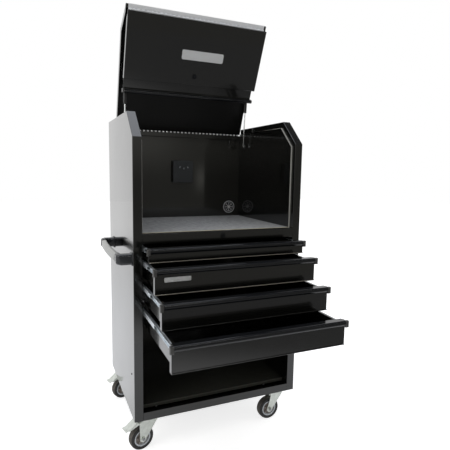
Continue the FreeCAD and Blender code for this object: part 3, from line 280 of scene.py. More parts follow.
def powder_coated(name, dark, pale, shine_range=(0.10, 0.17), clear_coat=0.5, specular=0.5):
    """Powder coat over steel, of one tint with a slight cloudiness."""
    made, tree = empty_material(name)
    spot = node(tree, "ShaderNodeTexCoord")
    peel = node(tree, "ShaderNodeTexNoise", inputs={"Scale": 1 / peel_size, "Detail": 1.0},
                links={"Vector": spot.outputs["Object"]})
    bump = node(tree, "ShaderNodeBump", inputs={"Strength": 0.02, "Distance": 0.0004},
                links={"Height": peel.outputs["Fac"]})
    smear = node(tree, "ShaderNodeTexNoise", inputs={"Scale": 1 / smear_size, "Detail": 3.0},
                 links={"Vector": spot.outputs["Object"]})
    shine = node(tree, "ShaderNodeMapRange",
                 inputs={"From Min": 0.3, "From Max": 0.7, "To Min": shine_range[0], "To Max": shine_range[1]},
                 links={"Value": smear.outputs["Fac"]})
    tint = node(tree, "ShaderNodeMix", {"data_type": "RGBA"}, {"A": linear(dark), "B": linear(pale)},
                {"Factor": smear.outputs["Fac"]})
    bsdf = node(tree, "ShaderNodeBsdfPrincipled",
                inputs={"Coat Weight": clear_coat, "Coat Roughness": 0.04, "Specular IOR Level": specular},
                links={"Base Color": tint.outputs["Result"], "Roughness": shine.outputs["Result"],
                       "Normal": bump.outputs["Normal"]})
    node(tree, "ShaderNodeOutputMaterial", links={"Surface": bsdf.outputs["BSDF"]})
    return made


powder_coat = powder_coated("gloss black powder coat on steel", "#0b0b0a", "#10100e")
# The back panel's coat is a lighter copy of the gloss black: painted reflected light, so the back wall reads brighter
# than the liners.
painted_reflection_coat = powder_coated("powder coat greyed by dust", "#1a1a17", "#22221e")
# The lower shelf's coat is a much paler copy of the gloss black: painted light on a shelf that lies in shade under the
# drawers.
painted_light_shelf_coat = powder_coated("powder coat under a film of dust", "#34342f", "#45453f")
painted = ["left_side_panel", "right_side_panel", "base_pan", "inner_side_panels", "hutch_liner_left",
           "hutch_liner_right", "lock_rail", "hutch_deck", "rear_header_rail", "door_panel",
           "lid_strut_studs", "strut_brackets"]
for name in painted:
    dress(name, powder_coat)
dress("back_panel", painted_reflection_coat)
dress("lower_shelf", painted_light_shelf_coat)


# Drawer boxes. Each is folded from one sheet, with a small radius along the front's foot. On the top
# two drawers that foot is painted pale: a painted highlight of the floor's light on the fold.
def merged_copy(name):
    """A mesh of a solid piece's own triangles, joined into one skin."""
    skin = bmesh.new()
    skin.from_mesh(frame["nodes"][name].data)
    bmesh.ops.remove_doubles(skin, verts=skin.verts, dist=1e-5)
    return skin


def finished(carrier):
    """The plain mesh that an object's modifiers give, with the object taken away."""
    bpy.context.scene.collection.objects.link(carrier)
    evaluated = carrier.evaluated_get(bpy.context.evaluated_depsgraph_get())
    mesh = bpy.data.meshes.new_from_object(evaluated)
    bpy.data.objects.remove(carrier)
    return mesh


def mesh_of(skin, name):
    """Turns a working mesh into a finished one, smooth across curves and even on flat faces."""
    bmesh.ops.recalc_face_normals(skin, faces=skin.faces)
    mesh = bpy.data.meshes.new(name)
    skin.to_mesh(mesh)
    skin.free()
    mesh.shade_smooth()
    mesh.set_sharp_from_angle(angle=math.radians(32))
    carrier = bpy.data.objects.new(name, mesh)
    even = carrier.modifiers.new("even", "WEIGHTED_NORMAL")
    even.keep_sharp = True
    even.weight = 100
    return finished(carrier)


def add_piece(name, mesh, body, material, replaced=()):
    """Puts a finished mesh in the scene, riding on a body."""
    piece = bpy.data.objects.new(name, mesh)
    bpy.context.scene.collection.objects.link(piece)
    if material:
        mesh.materials.append(material)
    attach(piece, body)
    if replaced:
        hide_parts(*replaced)
    return piece


fold_radius = 0.0031
# A pale beige coat on the foot of the top two fronts: a painted highlight on the fold.
fold_highlight_coat = powder_coated("pale coat painted as a highlight along the fold", "#767168", "#918b80")
highlighted_drawers = (1, 2)
for number in range(1, 5):
    name = "drawer_%d_body" % number
    low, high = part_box(name)
    skin = merged_copy(name)
    bmesh.ops.dissolve_limit(skin, angle_limit=math.radians(0.2), verts=skin.verts, edges=skin.edges)
    for face in skin.faces:
        middle = face.calc_center_median()
        at_foot = middle.z < low.z + fold_radius and middle.y < low.y + fold_radius
        face.material_index = int(at_foot and number in highlighted_drawers)
    box = add_piece(name + "_skin", mesh_of(skin, name + "_skin"), "drawer_%d" % number,
                    powder_coat, [name])
    box.data.materials.append(fold_highlight_coat)


# Lid. It is folded as one shell. Its inside has a thinner and duller coat than the outside, since
# the gun reaches it badly.
inside_coat = powder_coated("thin dull powder coat", "#070707", "#0c0c0b", (0.3, 0.42), 0.0, 0.25)
lid_opening = math.radians(joints["lid_hinge"]["range_deg"][1])
inward = Vector((0, -math.sin(lid_opening), -math.cos(lid_opening)))
skin = merged_copy("lid_panel")
bmesh.ops.dissolve_limit(skin, angle_limit=math.radians(0.2), verts=skin.verts, edges=skin.edges)
skin.normal_update()
for face in skin.faces:
    face.material_index = int(face.normal.dot(inward) > 0.7 and face.calc_area() > 0.05)
lid_skin = add_piece("lid_panel_skin", mesh_of(skin, "lid_panel_skin"), "lid", powder_coat,
                     ["lid_panel"])
lid_skin.data.materials.append(inside_coat)


# Sealing strips. A strip of grey foam tape is stuck to the front edge of each hutch liner, up the
# slope and along the top, so that the closed door and lid do not rattle on bare steel.
foam_thickness = 0.0006
cell_size = 0.0012
foam, tree = empty_material("grey EPDM foam tape")
spot = node(tree, "ShaderNodeTexCoord")
cells = node(tree, "ShaderNodeTexVoronoi", inputs={"Scale": 1 / cell_size}, links={"Vector": spot.outputs["Object"]})
tint = node(tree, "ShaderNodeMix", {"data_type": "RGBA"}, {"A": linear("#8f8d86"), "B": linear("#c2c0b8")},
            {"Factor": cells.outputs["Distance"]})
bump = node(tree, "ShaderNodeBump", inputs={"Strength": 0.3, "Distance": 0.0003},
            links={"Height": cells.outputs["Distance"]})
bsdf = node(tree, "ShaderNodeBsdfPrincipled", inputs={"Roughness": 0.8},
            links={"Base Color": tint.outputs["Result"], "Normal": bump.outputs["Normal"]})
node(tree, "ShaderNodeOutputMaterial", links={"Surface": bsdf.outputs["BSDF"]})
lap = 0.0045
for side, inside in (("left", 1), ("right", -1)):
    skin = merged_copy("hutch_liner_" + side)
    lap_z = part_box("hutch_liner_" + side)[1].z - lap
    bmesh.ops.bisect_plane(skin, geom=skin.verts[:] + skin.edges[:] + skin.faces[:], dist=1e-6,
                           plane_co=(0, 0, lap_z), plane_no=(0, 0, 1))
    skin.normal_update()
    bare = []
    for face in skin.faces:
        is_lap = face.normal.x * inside > 0.5 and face.calc_center_median().z > lap_z
        if face.normal.y > -0.5 and not is_lap:
            bare.append(face)
    bmesh.ops.delete(skin, geom=bare, context="FACES")
    shell = bmesh.ops.extrude_face_region(skin, geom=skin.faces[:])
    raised = [item for item in shell["geom"] if isinstance(item, bmesh.types.BMVert)]
    for vert in raised:
        vert.co += vert.normal * foam_thickness if vert.normal.y < 0 else -vert.normal * foam_thickness
    add_piece("hutch_seal_" + side, mesh_of(skin, "hutch_seal_" + side), "cabinet", foam)


# Work mat in the hutch. A 4 mm sheet of grey ribbed rubber with a fine cloth grain, cut square, so
# that its paler core shows along the front edge. It lies loose on the deck.
mat_low, mat_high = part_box("deck_mat")
rib_pitch = 0.005
grain_size = 0.0015
core_edge = 0.0015
mat_rubber, tree = empty_material("grey ribbed rubber matting")
spot = node(tree, "ShaderNodeTexCoord")
apart = node(tree, "ShaderNodeSeparateXYZ", links={"Vector": spot.outputs["Object"]})
ribs = node(tree, "ShaderNodeTexWave", {"bands_direction": "X"}, {"Scale": math.tau / (20 * rib_pitch)},
            {"Vector": spot.outputs["Object"]})
grain = node(tree, "ShaderNodeTexNoise", inputs={"Scale": 1 / grain_size, "Detail": 2.0},
             links={"Vector": spot.outputs["Object"]})
scuff = node(tree, "ShaderNodeTexNoise", inputs={"Scale": 60.0, "Detail": 5.0},
             links={"Vector": spot.outputs["Object"]})
tint = node(tree, "ShaderNodeMix", {"data_type": "RGBA"}, {"A": linear("#757574"), "B": linear("#b0b0ae")},
            {"Factor": grain.outputs["Fac"]})
dusty = node(tree, "ShaderNodeMix", {"data_type": "RGBA", "blend_type": "OVERLAY"}, {"Factor": 0.6},
             {"A": tint.outputs["Result"], "B": scuff.outputs["Fac"]})
at_edge = node(tree, "ShaderNodeMath", {"operation": "LESS_THAN"}, {1: mat_low.y + core_edge},
               {0: apart.outputs["Y"]})
cut = node(tree, "ShaderNodeMix", {"data_type": "RGBA"}, {"B": linear("#c2b89c")},
           {"Factor": at_edge.outputs[0], "A": dusty.outputs["Result"]})
relief = node(tree, "ShaderNodeMath", {"operation": "ADD"}, links={0: ribs.outputs["Fac"], 1: grain.outputs["Fac"]})
bump = node(tree, "ShaderNodeBump", inputs={"Strength": 0.5, "Distance": 0.0004}, links={"Height": relief.outputs[0]})
bsdf = node(tree, "ShaderNodeBsdfPrincipled", inputs={"Roughness": 0.85, "Specular IOR Level": 0.3},
            links={"Base Color": cut.outputs["Result"], "Normal": bump.outputs["Normal"]})
node(tree, "ShaderNodeOutputMaterial", links={"Surface": bsdf.outputs["BSDF"]})
dress("deck_mat", mat_rubber)


# Power outlet. A moulded ABS box is screwed to the back wall. Its face has three angled pin slots,
# each with a raised rim, and a small test tab under the lower edge. The rims and the tab are pale:
# painted highlights on the slots' edges and on the tab.
def turned_box(skin, centre, size, turn=None, edge=0.0):
    """Adds a box to a working mesh, turned about its own centre, with its edges bevelled."""
    place = Matrix.Translation(centre) @ (turn or Matrix.Identity(4)) @ Matrix.Diagonal((*size, 1.0))
    made = bmesh.ops.create_cube(skin, size=1.0, matrix=place)
    if edge:
        edges = list({side for vert in made["verts"] for side in vert.link_edges})
        bmesh.ops.bevel(skin, geom=edges, offset=edge, segments=2, affect="EDGES", profile=0.5)


def speckled_plastic(name, dark, pale, grain, roughness, relief):
    """A moulded plastic with a fine spark-eroded grain."""
    made, tree = empty_material(name)
    spot = node(tree, "ShaderNodeTexCoord")
    pits = node(tree, "ShaderNodeTexNoise", inputs={"Scale": 1 / grain, "Detail": 2.0},
                links={"Vector": spot.outputs["Object"]})
    tint = node(tree, "ShaderNodeMix", {"data_type": "RGBA"}, {"A": linear(dark), "B": linear(pale)},
                {"Factor": pits.outputs["Fac"]})
    shine = node(tree, "ShaderNodeMapRange", inputs={"To Min": roughness - 0.08, "To Max": roughness + 0.08},
                 links={"Value": pits.outputs["Fac"]})
    bump = node(tree, "ShaderNodeBump", inputs={"Strength": relief, "Distance": 0.0003},
                links={"Height": pits.outputs["Fac"]})
    bsdf = node(tree, "ShaderNodeBsdfPrincipled",
                links={"Base Color": tint.outputs["Result"], "Roughness": shine.outputs["Result"],
                       "Normal": bump.outputs["Normal"]})
    node(tree, "ShaderNodeOutputMaterial", links={"Surface": bsdf.outputs["BSDF"]})
    return made


def smooth_copy(name, body, material):
    """Stands for a solid piece with the same shape, shaded smooth across its round parts."""
    return add_piece(name + "_skin", mesh_of(merged_copy(name), name + "_skin"), body, material, [name])


outlet_low, outlet_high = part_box("power_outlet")
outlet_middle = (outlet_low + outlet_high) / 2
slot_spacing = 0.021
slot_rise = 0.022
slot_drop = 0.007
slot_length = 0.009
rim_width = 0.0018
slot_tilt = math.radians(30)
outlet_abs = speckled_plastic("black moulded ABS", "#1c1f22", "#2c3034", 0.0015, 0.34, 0.12)
# Pale grey for the slot rims and the tab: painted highlights on a black outlet.
slot_glint_abs = speckled_plastic("pale plastic painted as highlights at the pin slots", "#a9acae", "#d2d5d7", 0.002, 0.3, 0.05)
smooth_copy("power_outlet", "cabinet", outlet_abs)
rims = bmesh.new()
for side in (-1, 0, 1):
    lowered = slot_drop if side == 0 else 0.0
    centre = Vector((outlet_middle.x + side * slot_spacing + rim_width * 2, outlet_low.y,
                     outlet_middle.z + slot_rise - lowered))
    turn = Matrix.Rotation(-side * slot_tilt, 4, "Y")
    turned_box(rims, centre, (rim_width, rim_width * 1.6, slot_length), turn, rim_width / 4)
tab_size = (0.012, 0.003, 0.003)
turned_box(rims, (outlet_middle.x, outlet_low.y + tab_size[1], outlet_low.z + tab_size[2]), tab_size, None, 0.0005)
add_piece("outlet_slot_rims", mesh_of(rims, "outlet_slot_rims"), "cabinet", slot_glint_abs)


# Cable grommet. A flanged ring of soft black rubber is pressed into the back wall, with slit
# fingers across its bore that close around a lead. The web behind the fingers and the bead round
# the flange are pale grey: painted highlights, so the slits and the ring show as light lines.
def row_tree():
    """Copies of a piece in a straight row."""
    tree = bpy.data.node_groups.new("row of copies", "GeometryNodeTree")
    for name, kind in (("Geometry", "NodeSocketGeometry"), ("Count", "NodeSocketInt"),
                       ("Start", "NodeSocketVector"), ("Step", "NodeSocketVector"),
                       ("Finish", "NodeSocketMaterial")):
        tree.interface.new_socket(name=name, in_out="INPUT", socket_type=kind)
    tree.interface.new_socket(name="Geometry", in_out="OUTPUT", socket_type="NodeSocketGeometry")
    asked = node(tree, "NodeGroupInput")
    line = node(tree, "GeometryNodeMeshLine", {"mode": "OFFSET"},
                links={"Count": asked.outputs["Count"], "Start Location": asked.outputs["Start"],
                       "Offset": asked.outputs["Step"]})
    copies = node(tree, "GeometryNodeInstanceOnPoints",
                  links={"Points": line.outputs["Mesh"], "Instance": asked.outputs["Geometry"]})
    real = node(tree, "GeometryNodeRealizeInstances", links={"Geometry": copies.outputs["Instances"]})
    coated = node(tree, "GeometryNodeSetMaterial",
                  links={"Geometry": real.outputs["Geometry"], "Material": asked.outputs["Finish"]})
    node(tree, "NodeGroupOutput", links={"Geometry": coated.outputs["Geometry"]})
    return tree


def ring_tree():
    """Copies of a piece turned about the Z axis, evenly spaced."""
    tree = bpy.data.node_groups.new("ring of copies", "GeometryNodeTree")
    for name, kind in (("Geometry", "NodeSocketGeometry"), ("Count", "NodeSocketInt"),
                       ("First Turn", "NodeSocketFloat"), ("Finish", "NodeSocketMaterial")):
        tree.interface.new_socket(name=name, in_out="INPUT", socket_type=kind)
    tree.interface.new_socket(name="Geometry", in_out="OUTPUT", socket_type="NodeSocketGeometry")
    asked = node(tree, "NodeGroupInput")
    points = node(tree, "GeometryNodePoints", links={"Count": asked.outputs["Count"]})
    number = node(tree, "GeometryNodeInputIndex")
    share = node(tree, "ShaderNodeMath", {"operation": "DIVIDE"},
                 links={0: number.outputs["Index"], 1: asked.outputs["Count"]})
    turn = node(tree, "ShaderNodeMath", {"operation": "MULTIPLY_ADD"}, {1: math.tau},
                {0: share.outputs[0], 2: asked.outputs["First Turn"]})
    about_z = node(tree, "ShaderNodeCombineXYZ", links={"Z": turn.outputs[0]})
    rotation = node(tree, "FunctionNodeEulerToRotation", links={"Euler": about_z.outputs["Vector"]})
    copies = node(tree, "GeometryNodeInstanceOnPoints",
                  links={"Points": points.outputs["Points"], "Instance": asked.outputs["Geometry"],
                         "Rotation": rotation.outputs["Rotation"]})
    real = node(tree, "GeometryNodeRealizeInstances", links={"Geometry": copies.outputs["Instances"]})
    coated = node(tree, "GeometryNodeSetMaterial",
                  links={"Geometry": real.outputs["Geometry"], "Material": asked.outputs["Finish"]})
    node(tree, "NodeGroupOutput", links={"Geometry": coated.outputs["Geometry"]})
    return tree


def repeated(skin, tree, values, place=None):
    """The plain mesh that a node tree makes of one working mesh, moved to its place."""
    base = mesh_of(skin, "one of a set")
    carrier = bpy.data.objects.new("carrier", base)
    modifier = carrier.modifiers.new("copies", "NODES")
    modifier.node_group = tree
    for socket in tree.interface.items_tree:
        if socket.name in values and socket.in_out == "INPUT":
            modifier[socket.identifier] = values[socket.name]
    mesh = finished(carrier)
    if place:
        mesh.transform(place)
    return mesh


def lathe(skin, outline, steps=48):
    """Turns a closed outline of (radius, height) points about the Z axis, with shared points on it."""
    poles = {point: skin.verts.new((0, 0, point[1])) for point in outline if point[0] == 0}
    rings = []
    for step in range(steps):
        turn = math.tau * step / steps
        rings.append([poles.get(point) or skin.verts.new((point[0] * math.cos(turn), point[0] * math.sin(turn),
                                                          point[1])) for point in outline])
    for step in range(steps):
        here, beyond = rings[step], rings[(step + 1) % steps]
        for point in range(len(outline)):
            after = (point + 1) % len(outline)
            corners = list(dict.fromkeys((here[point], beyond[point], beyond[after], here[after])))
            if len(corners) > 2:
                skin.faces.new(corners)


rows = row_tree()
rings = ring_tree()
grommet_low, grommet_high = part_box("cable_grommet")
grommet_middle = (grommet_low + grommet_high) / 2
grommet_radius = (grommet_high.x - grommet_low.x) / 2
finger_count = 8
finger_reach = grommet_radius * 0.64
finger_gap = 0.0014
bead_radius = 0.0016
facing_front = Matrix.Rotation(math.radians(90), 4, "X")
rubber = speckled_plastic("soft black moulded rubber", "#0a0b0b", "#151616", 0.002, 0.5, 0.1)
# Near white for the web and the bead: painted highlights on black rubber.
highlight_rubber = speckled_plastic("black rubber painted pale as highlights", "#b3b4b4", "#e2e3e3", 0.004, 0.36, 0.1)
smooth_copy("cable_grommet", "cabinet", rubber)
finger = bmesh.new()
half_turn = math.pi / finger_count
corner_x = finger_reach * math.cos(half_turn)
corner_y = finger_reach * math.sin(half_turn) - finger_gap
outline = [(finger_gap * 3, 0, 0), (corner_x, -corner_y, 0), (finger_reach, 0, 0), (corner_x, corner_y, 0)]
leaf = finger.faces.new([finger.verts.new(point) for point in outline])
bmesh.ops.solidify(finger, geom=[leaf], thickness=0.0014)
for corner in finger.verts:
    if corner.co.length < finger_gap * 4:
        corner.co.z += 0.002
place = Matrix.Translation((grommet_middle.x, grommet_low.y + 0.0022, grommet_middle.z)) @ facing_front
fingers = repeated(finger, rings, {"Count": finger_count, "First Turn": half_turn, "Finish": rubber}, place)
add_piece("grommet_fingers", fingers, "cabinet", None)
web = bmesh.new()
lathe(web, [(0, -0.0030), (finger_reach + bead_radius, -0.0030), (finger_reach + bead_radius, -0.0022), (0, -0.0022)])
web.transform(Matrix.Translation((grommet_middle.x, grommet_low.y, grommet_middle.z)) @ facing_front)
add_piece("grommet_web", mesh_of(web, "grommet_web"), "cabinet", highlight_rubber)
bead = bmesh.new()
bead_steps = 10
bead_middle = grommet_radius - 2 * bead_radius
lathe(bead, [(bead_middle + bead_radius * math.cos(math.tau * step / bead_steps),
              bead_radius * math.sin(math.tau * step / bead_steps)) for step in range(bead_steps)])
bead.transform(Matrix.Translation((grommet_middle.x, grommet_low.y, grommet_middle.z)) @ facing_front)
add_piece("grommet_bead", mesh_of(bead, "grommet_bead"), "cabinet", highlight_rubber)


# Piano hinges. The lid's and the door's are rolled from zinc plated strip around a steel pin. One
# leaf of the lid's hinge is painted with the lid, so bright and black knuckles take turns.
def plated(name, dark, pale, roughness, grain=0.004, drawn=(1.0, 1.0, 1.0), bare=1.0):
    """A plated or bare metal, with its bath's cloudiness or its drawing's lines, bare or under a dull film."""
    made, tree = empty_material(name)
    spot = node(tree, "ShaderNodeTexCoord")
    along = node(tree, "ShaderNodeMapping", inputs={"Scale": drawn}, links={"Vector": spot.outputs["Object"]})
    cloud = node(tree, "ShaderNodeTexNoise", inputs={"Scale": 1 / grain, "Detail": 3.0},
                 links={"Vector": along.outputs["Vector"]})
    tint = node(tree, "ShaderNodeMix", {"data_type": "RGBA"}, {"A": linear(dark), "B": linear(pale)},
                {"Factor": cloud.outputs["Fac"]})
    shine = node(tree, "ShaderNodeMapRange",
                 inputs={"From Min": 0.3, "From Max": 0.7, "To Min": roughness - 0.06, "To Max": roughness + 0.06},
                 links={"Value": cloud.outputs["Fac"]})
    bump = node(tree, "ShaderNodeBump", inputs={"Strength": 0.06, "Distance": 0.0002},
                links={"Height": cloud.outputs["Fac"]})
    bsdf = node(tree, "ShaderNodeBsdfPrincipled", inputs={"Metallic": bare},
                links={"Base Color": tint.outputs["Result"], "Roughness": shine.outputs["Result"],
                       "Normal": bump.outputs["Normal"]})
    node(tree, "ShaderNodeOutputMaterial", links={"Surface": bsdf.outputs["BSDF"]})
    return made


hinge_zinc = plated("zinc plated hinge strip", "#d6d8da", "#f8f8f9", 0.42, 0.003, bare=0.4)
smooth_copy("lid_hinge_fixed_leaf", "cabinet", hinge_zinc)
smooth_copy("lid_hinge_moving_leaf", "lid", powder_coat)
smooth_copy("door_hinge_lid_leaf", "lid", hinge_zinc)
smooth_copy("door_hinge_door_leaf", "door", hinge_zinc)


# Locks. Two cam locks with dark chromed brass heads, one in the door and one in the lock rail.
# Each has a key slot, and turns a steel cam behind the sheet.
lock_chrome = plated("black chromed brass", "#1e1f21", "#3a3b3e", 0.12, 0.002)
smooth_copy("door_lock_cylinder", "door_lock", lock_chrome)
smooth_copy("drawer_lock_cylinder", "drawer_lock", lock_chrome)
housing_zinc = plated("die-cast zinc", "#8b8d90", "#b4b6b8", 0.38, 0.003)
smooth_copy("door_lock_housing", "door", housing_zinc)
smooth_copy("drawer_lock_housing", "cabinet", housing_zinc)


# Gas struts. A ground and polished steel rod slides in a pressure tube of satin black painted
# steel. A ball end in bright steel sits on each bracket's stud.
rod_steel = plated("ground and polished steel rod", "#c9cbcd", "#eceef0", 0.12, 0.02)
tube_paint = speckled_plastic("satin black paint on steel tube", "#0e0e0f", "#1a1a1b", 0.003, 0.3, 0.04)
smooth_copy("strut_rods", "strut_rods", rod_steel)
smooth_copy("strut_tubes", "strut_tubes", tube_paint)


# Side handle. Two oval brackets of glossy black nylon hold a bowed grip of silver anodised
# aluminium, brushed along its length.
handle_nylon = speckled_plastic("glossy black glass-filled nylon", "#15171a", "#26292d", 0.003, 0.24, 0.06)
smooth_copy("handle_brackets", "cabinet", handle_nylon)
grip_silver = plated("silver anodised brushed aluminium", "#929391", "#b8b9b6", 0.36, 0.002, (1.0, 0.06, 1.0))
smooth_copy("handle_grip", "cabinet", grip_silver)


# Drawer pulls. Each drawer's is a bull-nose bar of glossy black extruded aluminium, closed at both
# ends by caps of dark grey moulded nylon. A shorter one runs along the foot of the door.
def split_pull(name, body, bar_half, cap_material, bar_material):
    """Stands for a pull with two pieces, its bar and its end caps."""
    low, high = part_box(name)
    middle = (low.x + high.x) / 2
    skins = {}
    for part in ("bar", "caps"):
        skin = merged_copy(name)
        for x in (middle - bar_half, middle + bar_half):
            bmesh.ops.bisect_plane(skin, geom=skin.verts[:] + skin.edges[:] + skin.faces[:], dist=1e-6,
                                   plane_co=(x, 0, 0), plane_no=(1, 0, 0))
        gone = []
        for face in skin.faces:
            is_cap = abs(face.calc_center_median().x - middle) > bar_half
            if is_cap != (part == "caps"):
                gone.append(face)
        bmesh.ops.delete(skin, geom=gone, context="FACES")
        skins[part] = mesh_of(skin, name + "_" + part)
    add_piece(name + "_bar", skins["bar"], body, bar_material, [name])
    add_piece(name + "_caps", skins["caps"], body, cap_material, [name])


pull_black = speckled_plastic("gloss black anodised aluminium extrusion", "#0a0b0d", "#101216", 0.01, 0.12, 0.02)
cap_nylon = speckled_plastic("dark grey moulded nylon", "#2d2d2c", "#484745", 0.0025, 0.3, 0.12)
cap_width = 0.013
for number in range(1, 5):
    name = "drawer_%d_pull" % number
    low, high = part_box(name)
    split_pull(name, "drawer_%d" % number, (high.x - low.x) / 2 - cap_width, cap_nylon, pull_black)
door_cap_width = 0.008
low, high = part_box("door_pull")
split_pull("door_pull", "door", (high.x - low.x) / 2 - door_cap_width, cap_nylon, pull_black)


# Drawer slides. Three nested members to a side, cold rolled from zinc plated steel strip. Each is
# a narrow channel just under the drawer's top edge, and runs on two rows of balls.
slide_zinc = plated("bright zinc plated slide strip", "#d3dbe1", "#f2f6f9", 0.42, 0.004, (1.0, 0.05, 1.0))
narrowing = 0.015
slide_middles = []
for number in range(1, 5):
    low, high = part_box("drawer_%d_inner_slides" % number)
    slide_middles.append((low.z + high.z) / 2)


def narrow_slides(name, body):
    """Stands for a slide's members with narrower ones, whose top lips stay where they are."""
    skin = merged_copy(name)
    for vert in skin.verts:
        nearest = min(slide_middles, key=lambda middle: abs(vert.co.z - middle))
        if vert.co.z < nearest:
            vert.co.z += narrowing
    add_piece(name + "_skin", mesh_of(skin, name + "_skin"), body, slide_zinc, [name])


narrow_slides("slide_outer_members", "cabinet")
for number in range(1, 5):
    narrow_slides("drawer_%d_middle_slides" % number, "drawer_%d_middle_slides" % number)
    narrow_slides("drawer_%d_inner_slides" % number, "drawer_%d" % number)


# Casters. Each has a black rubber tyre moulded on a light grey nylon rim, in a fork pressed from
# zinc plated steel that swivels under a bolted plate. An axle bolt with a nut holds the wheel.
def along_axis(joint):
    """A place whose Z axis is a joint's own axis."""
    axis = Vector(joint["axis"])
    return Matrix.Translation(joint["pos_m"]) @ Vector((0, 0, 1)).rotation_difference(axis).to_matrix().to_4x4()


tyre_half = 0.016
rim_radius = 0.035
shoulder = 0.0055
groove_depth = 0.0012
groove_half = 0.0014
groove_place = 0.0053
side_ring = 0.0007
tread_radius = 0.0485
lip_radius = 0.0305
rim_half = 0.015
web_half = 0.004
hub_radius = 0.012
hub_half = 0.018
bore_radius = 0.0051
chamfer = 0.001
rib_count = 6
rib_width = 0.0035
rib_half = 0.012
nut_radius = 0.0066
nut_height = 0.004
stub_radius = 0.0038
nut_seat = 0.026
wheel_corners = ["front_left", "rear_left", "front_right", "rear_right"]


def tyre_outline(radius):
    """Half of the tyre's section, from the bead to the middle of the tread, and its mirror image."""
    half = [(rim_radius, -rim_half), (rim_radius + 2 * side_ring, -tyre_half + side_ring),
            (rim_radius + 4 * side_ring, -tyre_half), (rim_radius + 6 * side_ring, -tyre_half),
            (rim_radius + 7 * side_ring, -tyre_half + side_ring)]
    centre_radius = radius - shoulder - side_ring
    for step in range(7):
        turn = math.radians(90 * step / 6)
        half.append((centre_radius + shoulder * math.sin(turn), -tyre_half + shoulder - shoulder * math.cos(turn)))
    half += [(radius, -groove_place - groove_half), (radius - groove_depth, -groove_place - groove_half / 2),
             (radius - groove_depth, -groove_place + groove_half / 2), (radius, -groove_place + groove_half)]
    return half + [(distance, -height) for distance, height in reversed(half)]


tyre_rubber, tree = empty_material("black moulded tyre rubber")
spot = node(tree, "ShaderNodeTexCoord")
dust = node(tree, "ShaderNodeTexNoise", inputs={"Scale": 60.0, "Detail": 4.0}, links={"Vector": spot.outputs["Object"]})
tint = node(tree, "ShaderNodeMix", {"data_type": "RGBA"}, {"A": linear("#141414"), "B": linear("#262624")},
            {"Factor": dust.outputs["Fac"]})
bump = node(tree, "ShaderNodeBump", inputs={"Strength": 0.12, "Distance": 0.0003}, links={"Height": dust.outputs["Fac"]})
bsdf = node(tree, "ShaderNodeBsdfPrincipled", inputs={"Roughness": 0.5},
            links={"Base Color": tint.outputs["Result"], "Normal": bump.outputs["Normal"]})
node(tree, "ShaderNodeOutputMaterial", links={"Surface": bsdf.outputs["BSDF"]})
# The tread faces are a paler brownish grey than the sidewalls.
tread_rubber, tree = empty_material("paler brownish tyre tread rubber")
spot = node(tree, "ShaderNodeTexCoord")
dust = node(tree, "ShaderNodeTexNoise", inputs={"Scale": 90.0, "Detail": 4.0}, links={"Vector": spot.outputs["Object"]})
tint = node(tree, "ShaderNodeMix", {"data_type": "RGBA"}, {"A": linear("#3d3a36"), "B": linear("#68625a")},
            {"Factor": dust.outputs["Fac"]})
bump = node(tree, "ShaderNodeBump", inputs={"Strength": 0.2, "Distance": 0.0003}, links={"Height": dust.outputs["Fac"]})
bsdf = node(tree, "ShaderNodeBsdfPrincipled", inputs={"Roughness": 0.6},
            links={"Base Color": tint.outputs["Result"], "Normal": bump.outputs["Normal"]})
node(tree, "ShaderNodeOutputMaterial", links={"Surface": bsdf.outputs["BSDF"]})
rim_nylon = speckled_plastic("light grey moulded nylon", "#c3c9cf", "#e2e6ea", 0.004, 0.35, 0.05)
web_nylon = speckled_plastic("greyish brown moulded nylon", "#857c74", "#a89f97", 0.004, 0.42, 0.08)
fork_zinc = plated("bright zinc plated pressed steel", "#b4b8b2", "#e4e8e2", 0.33, 0.012)

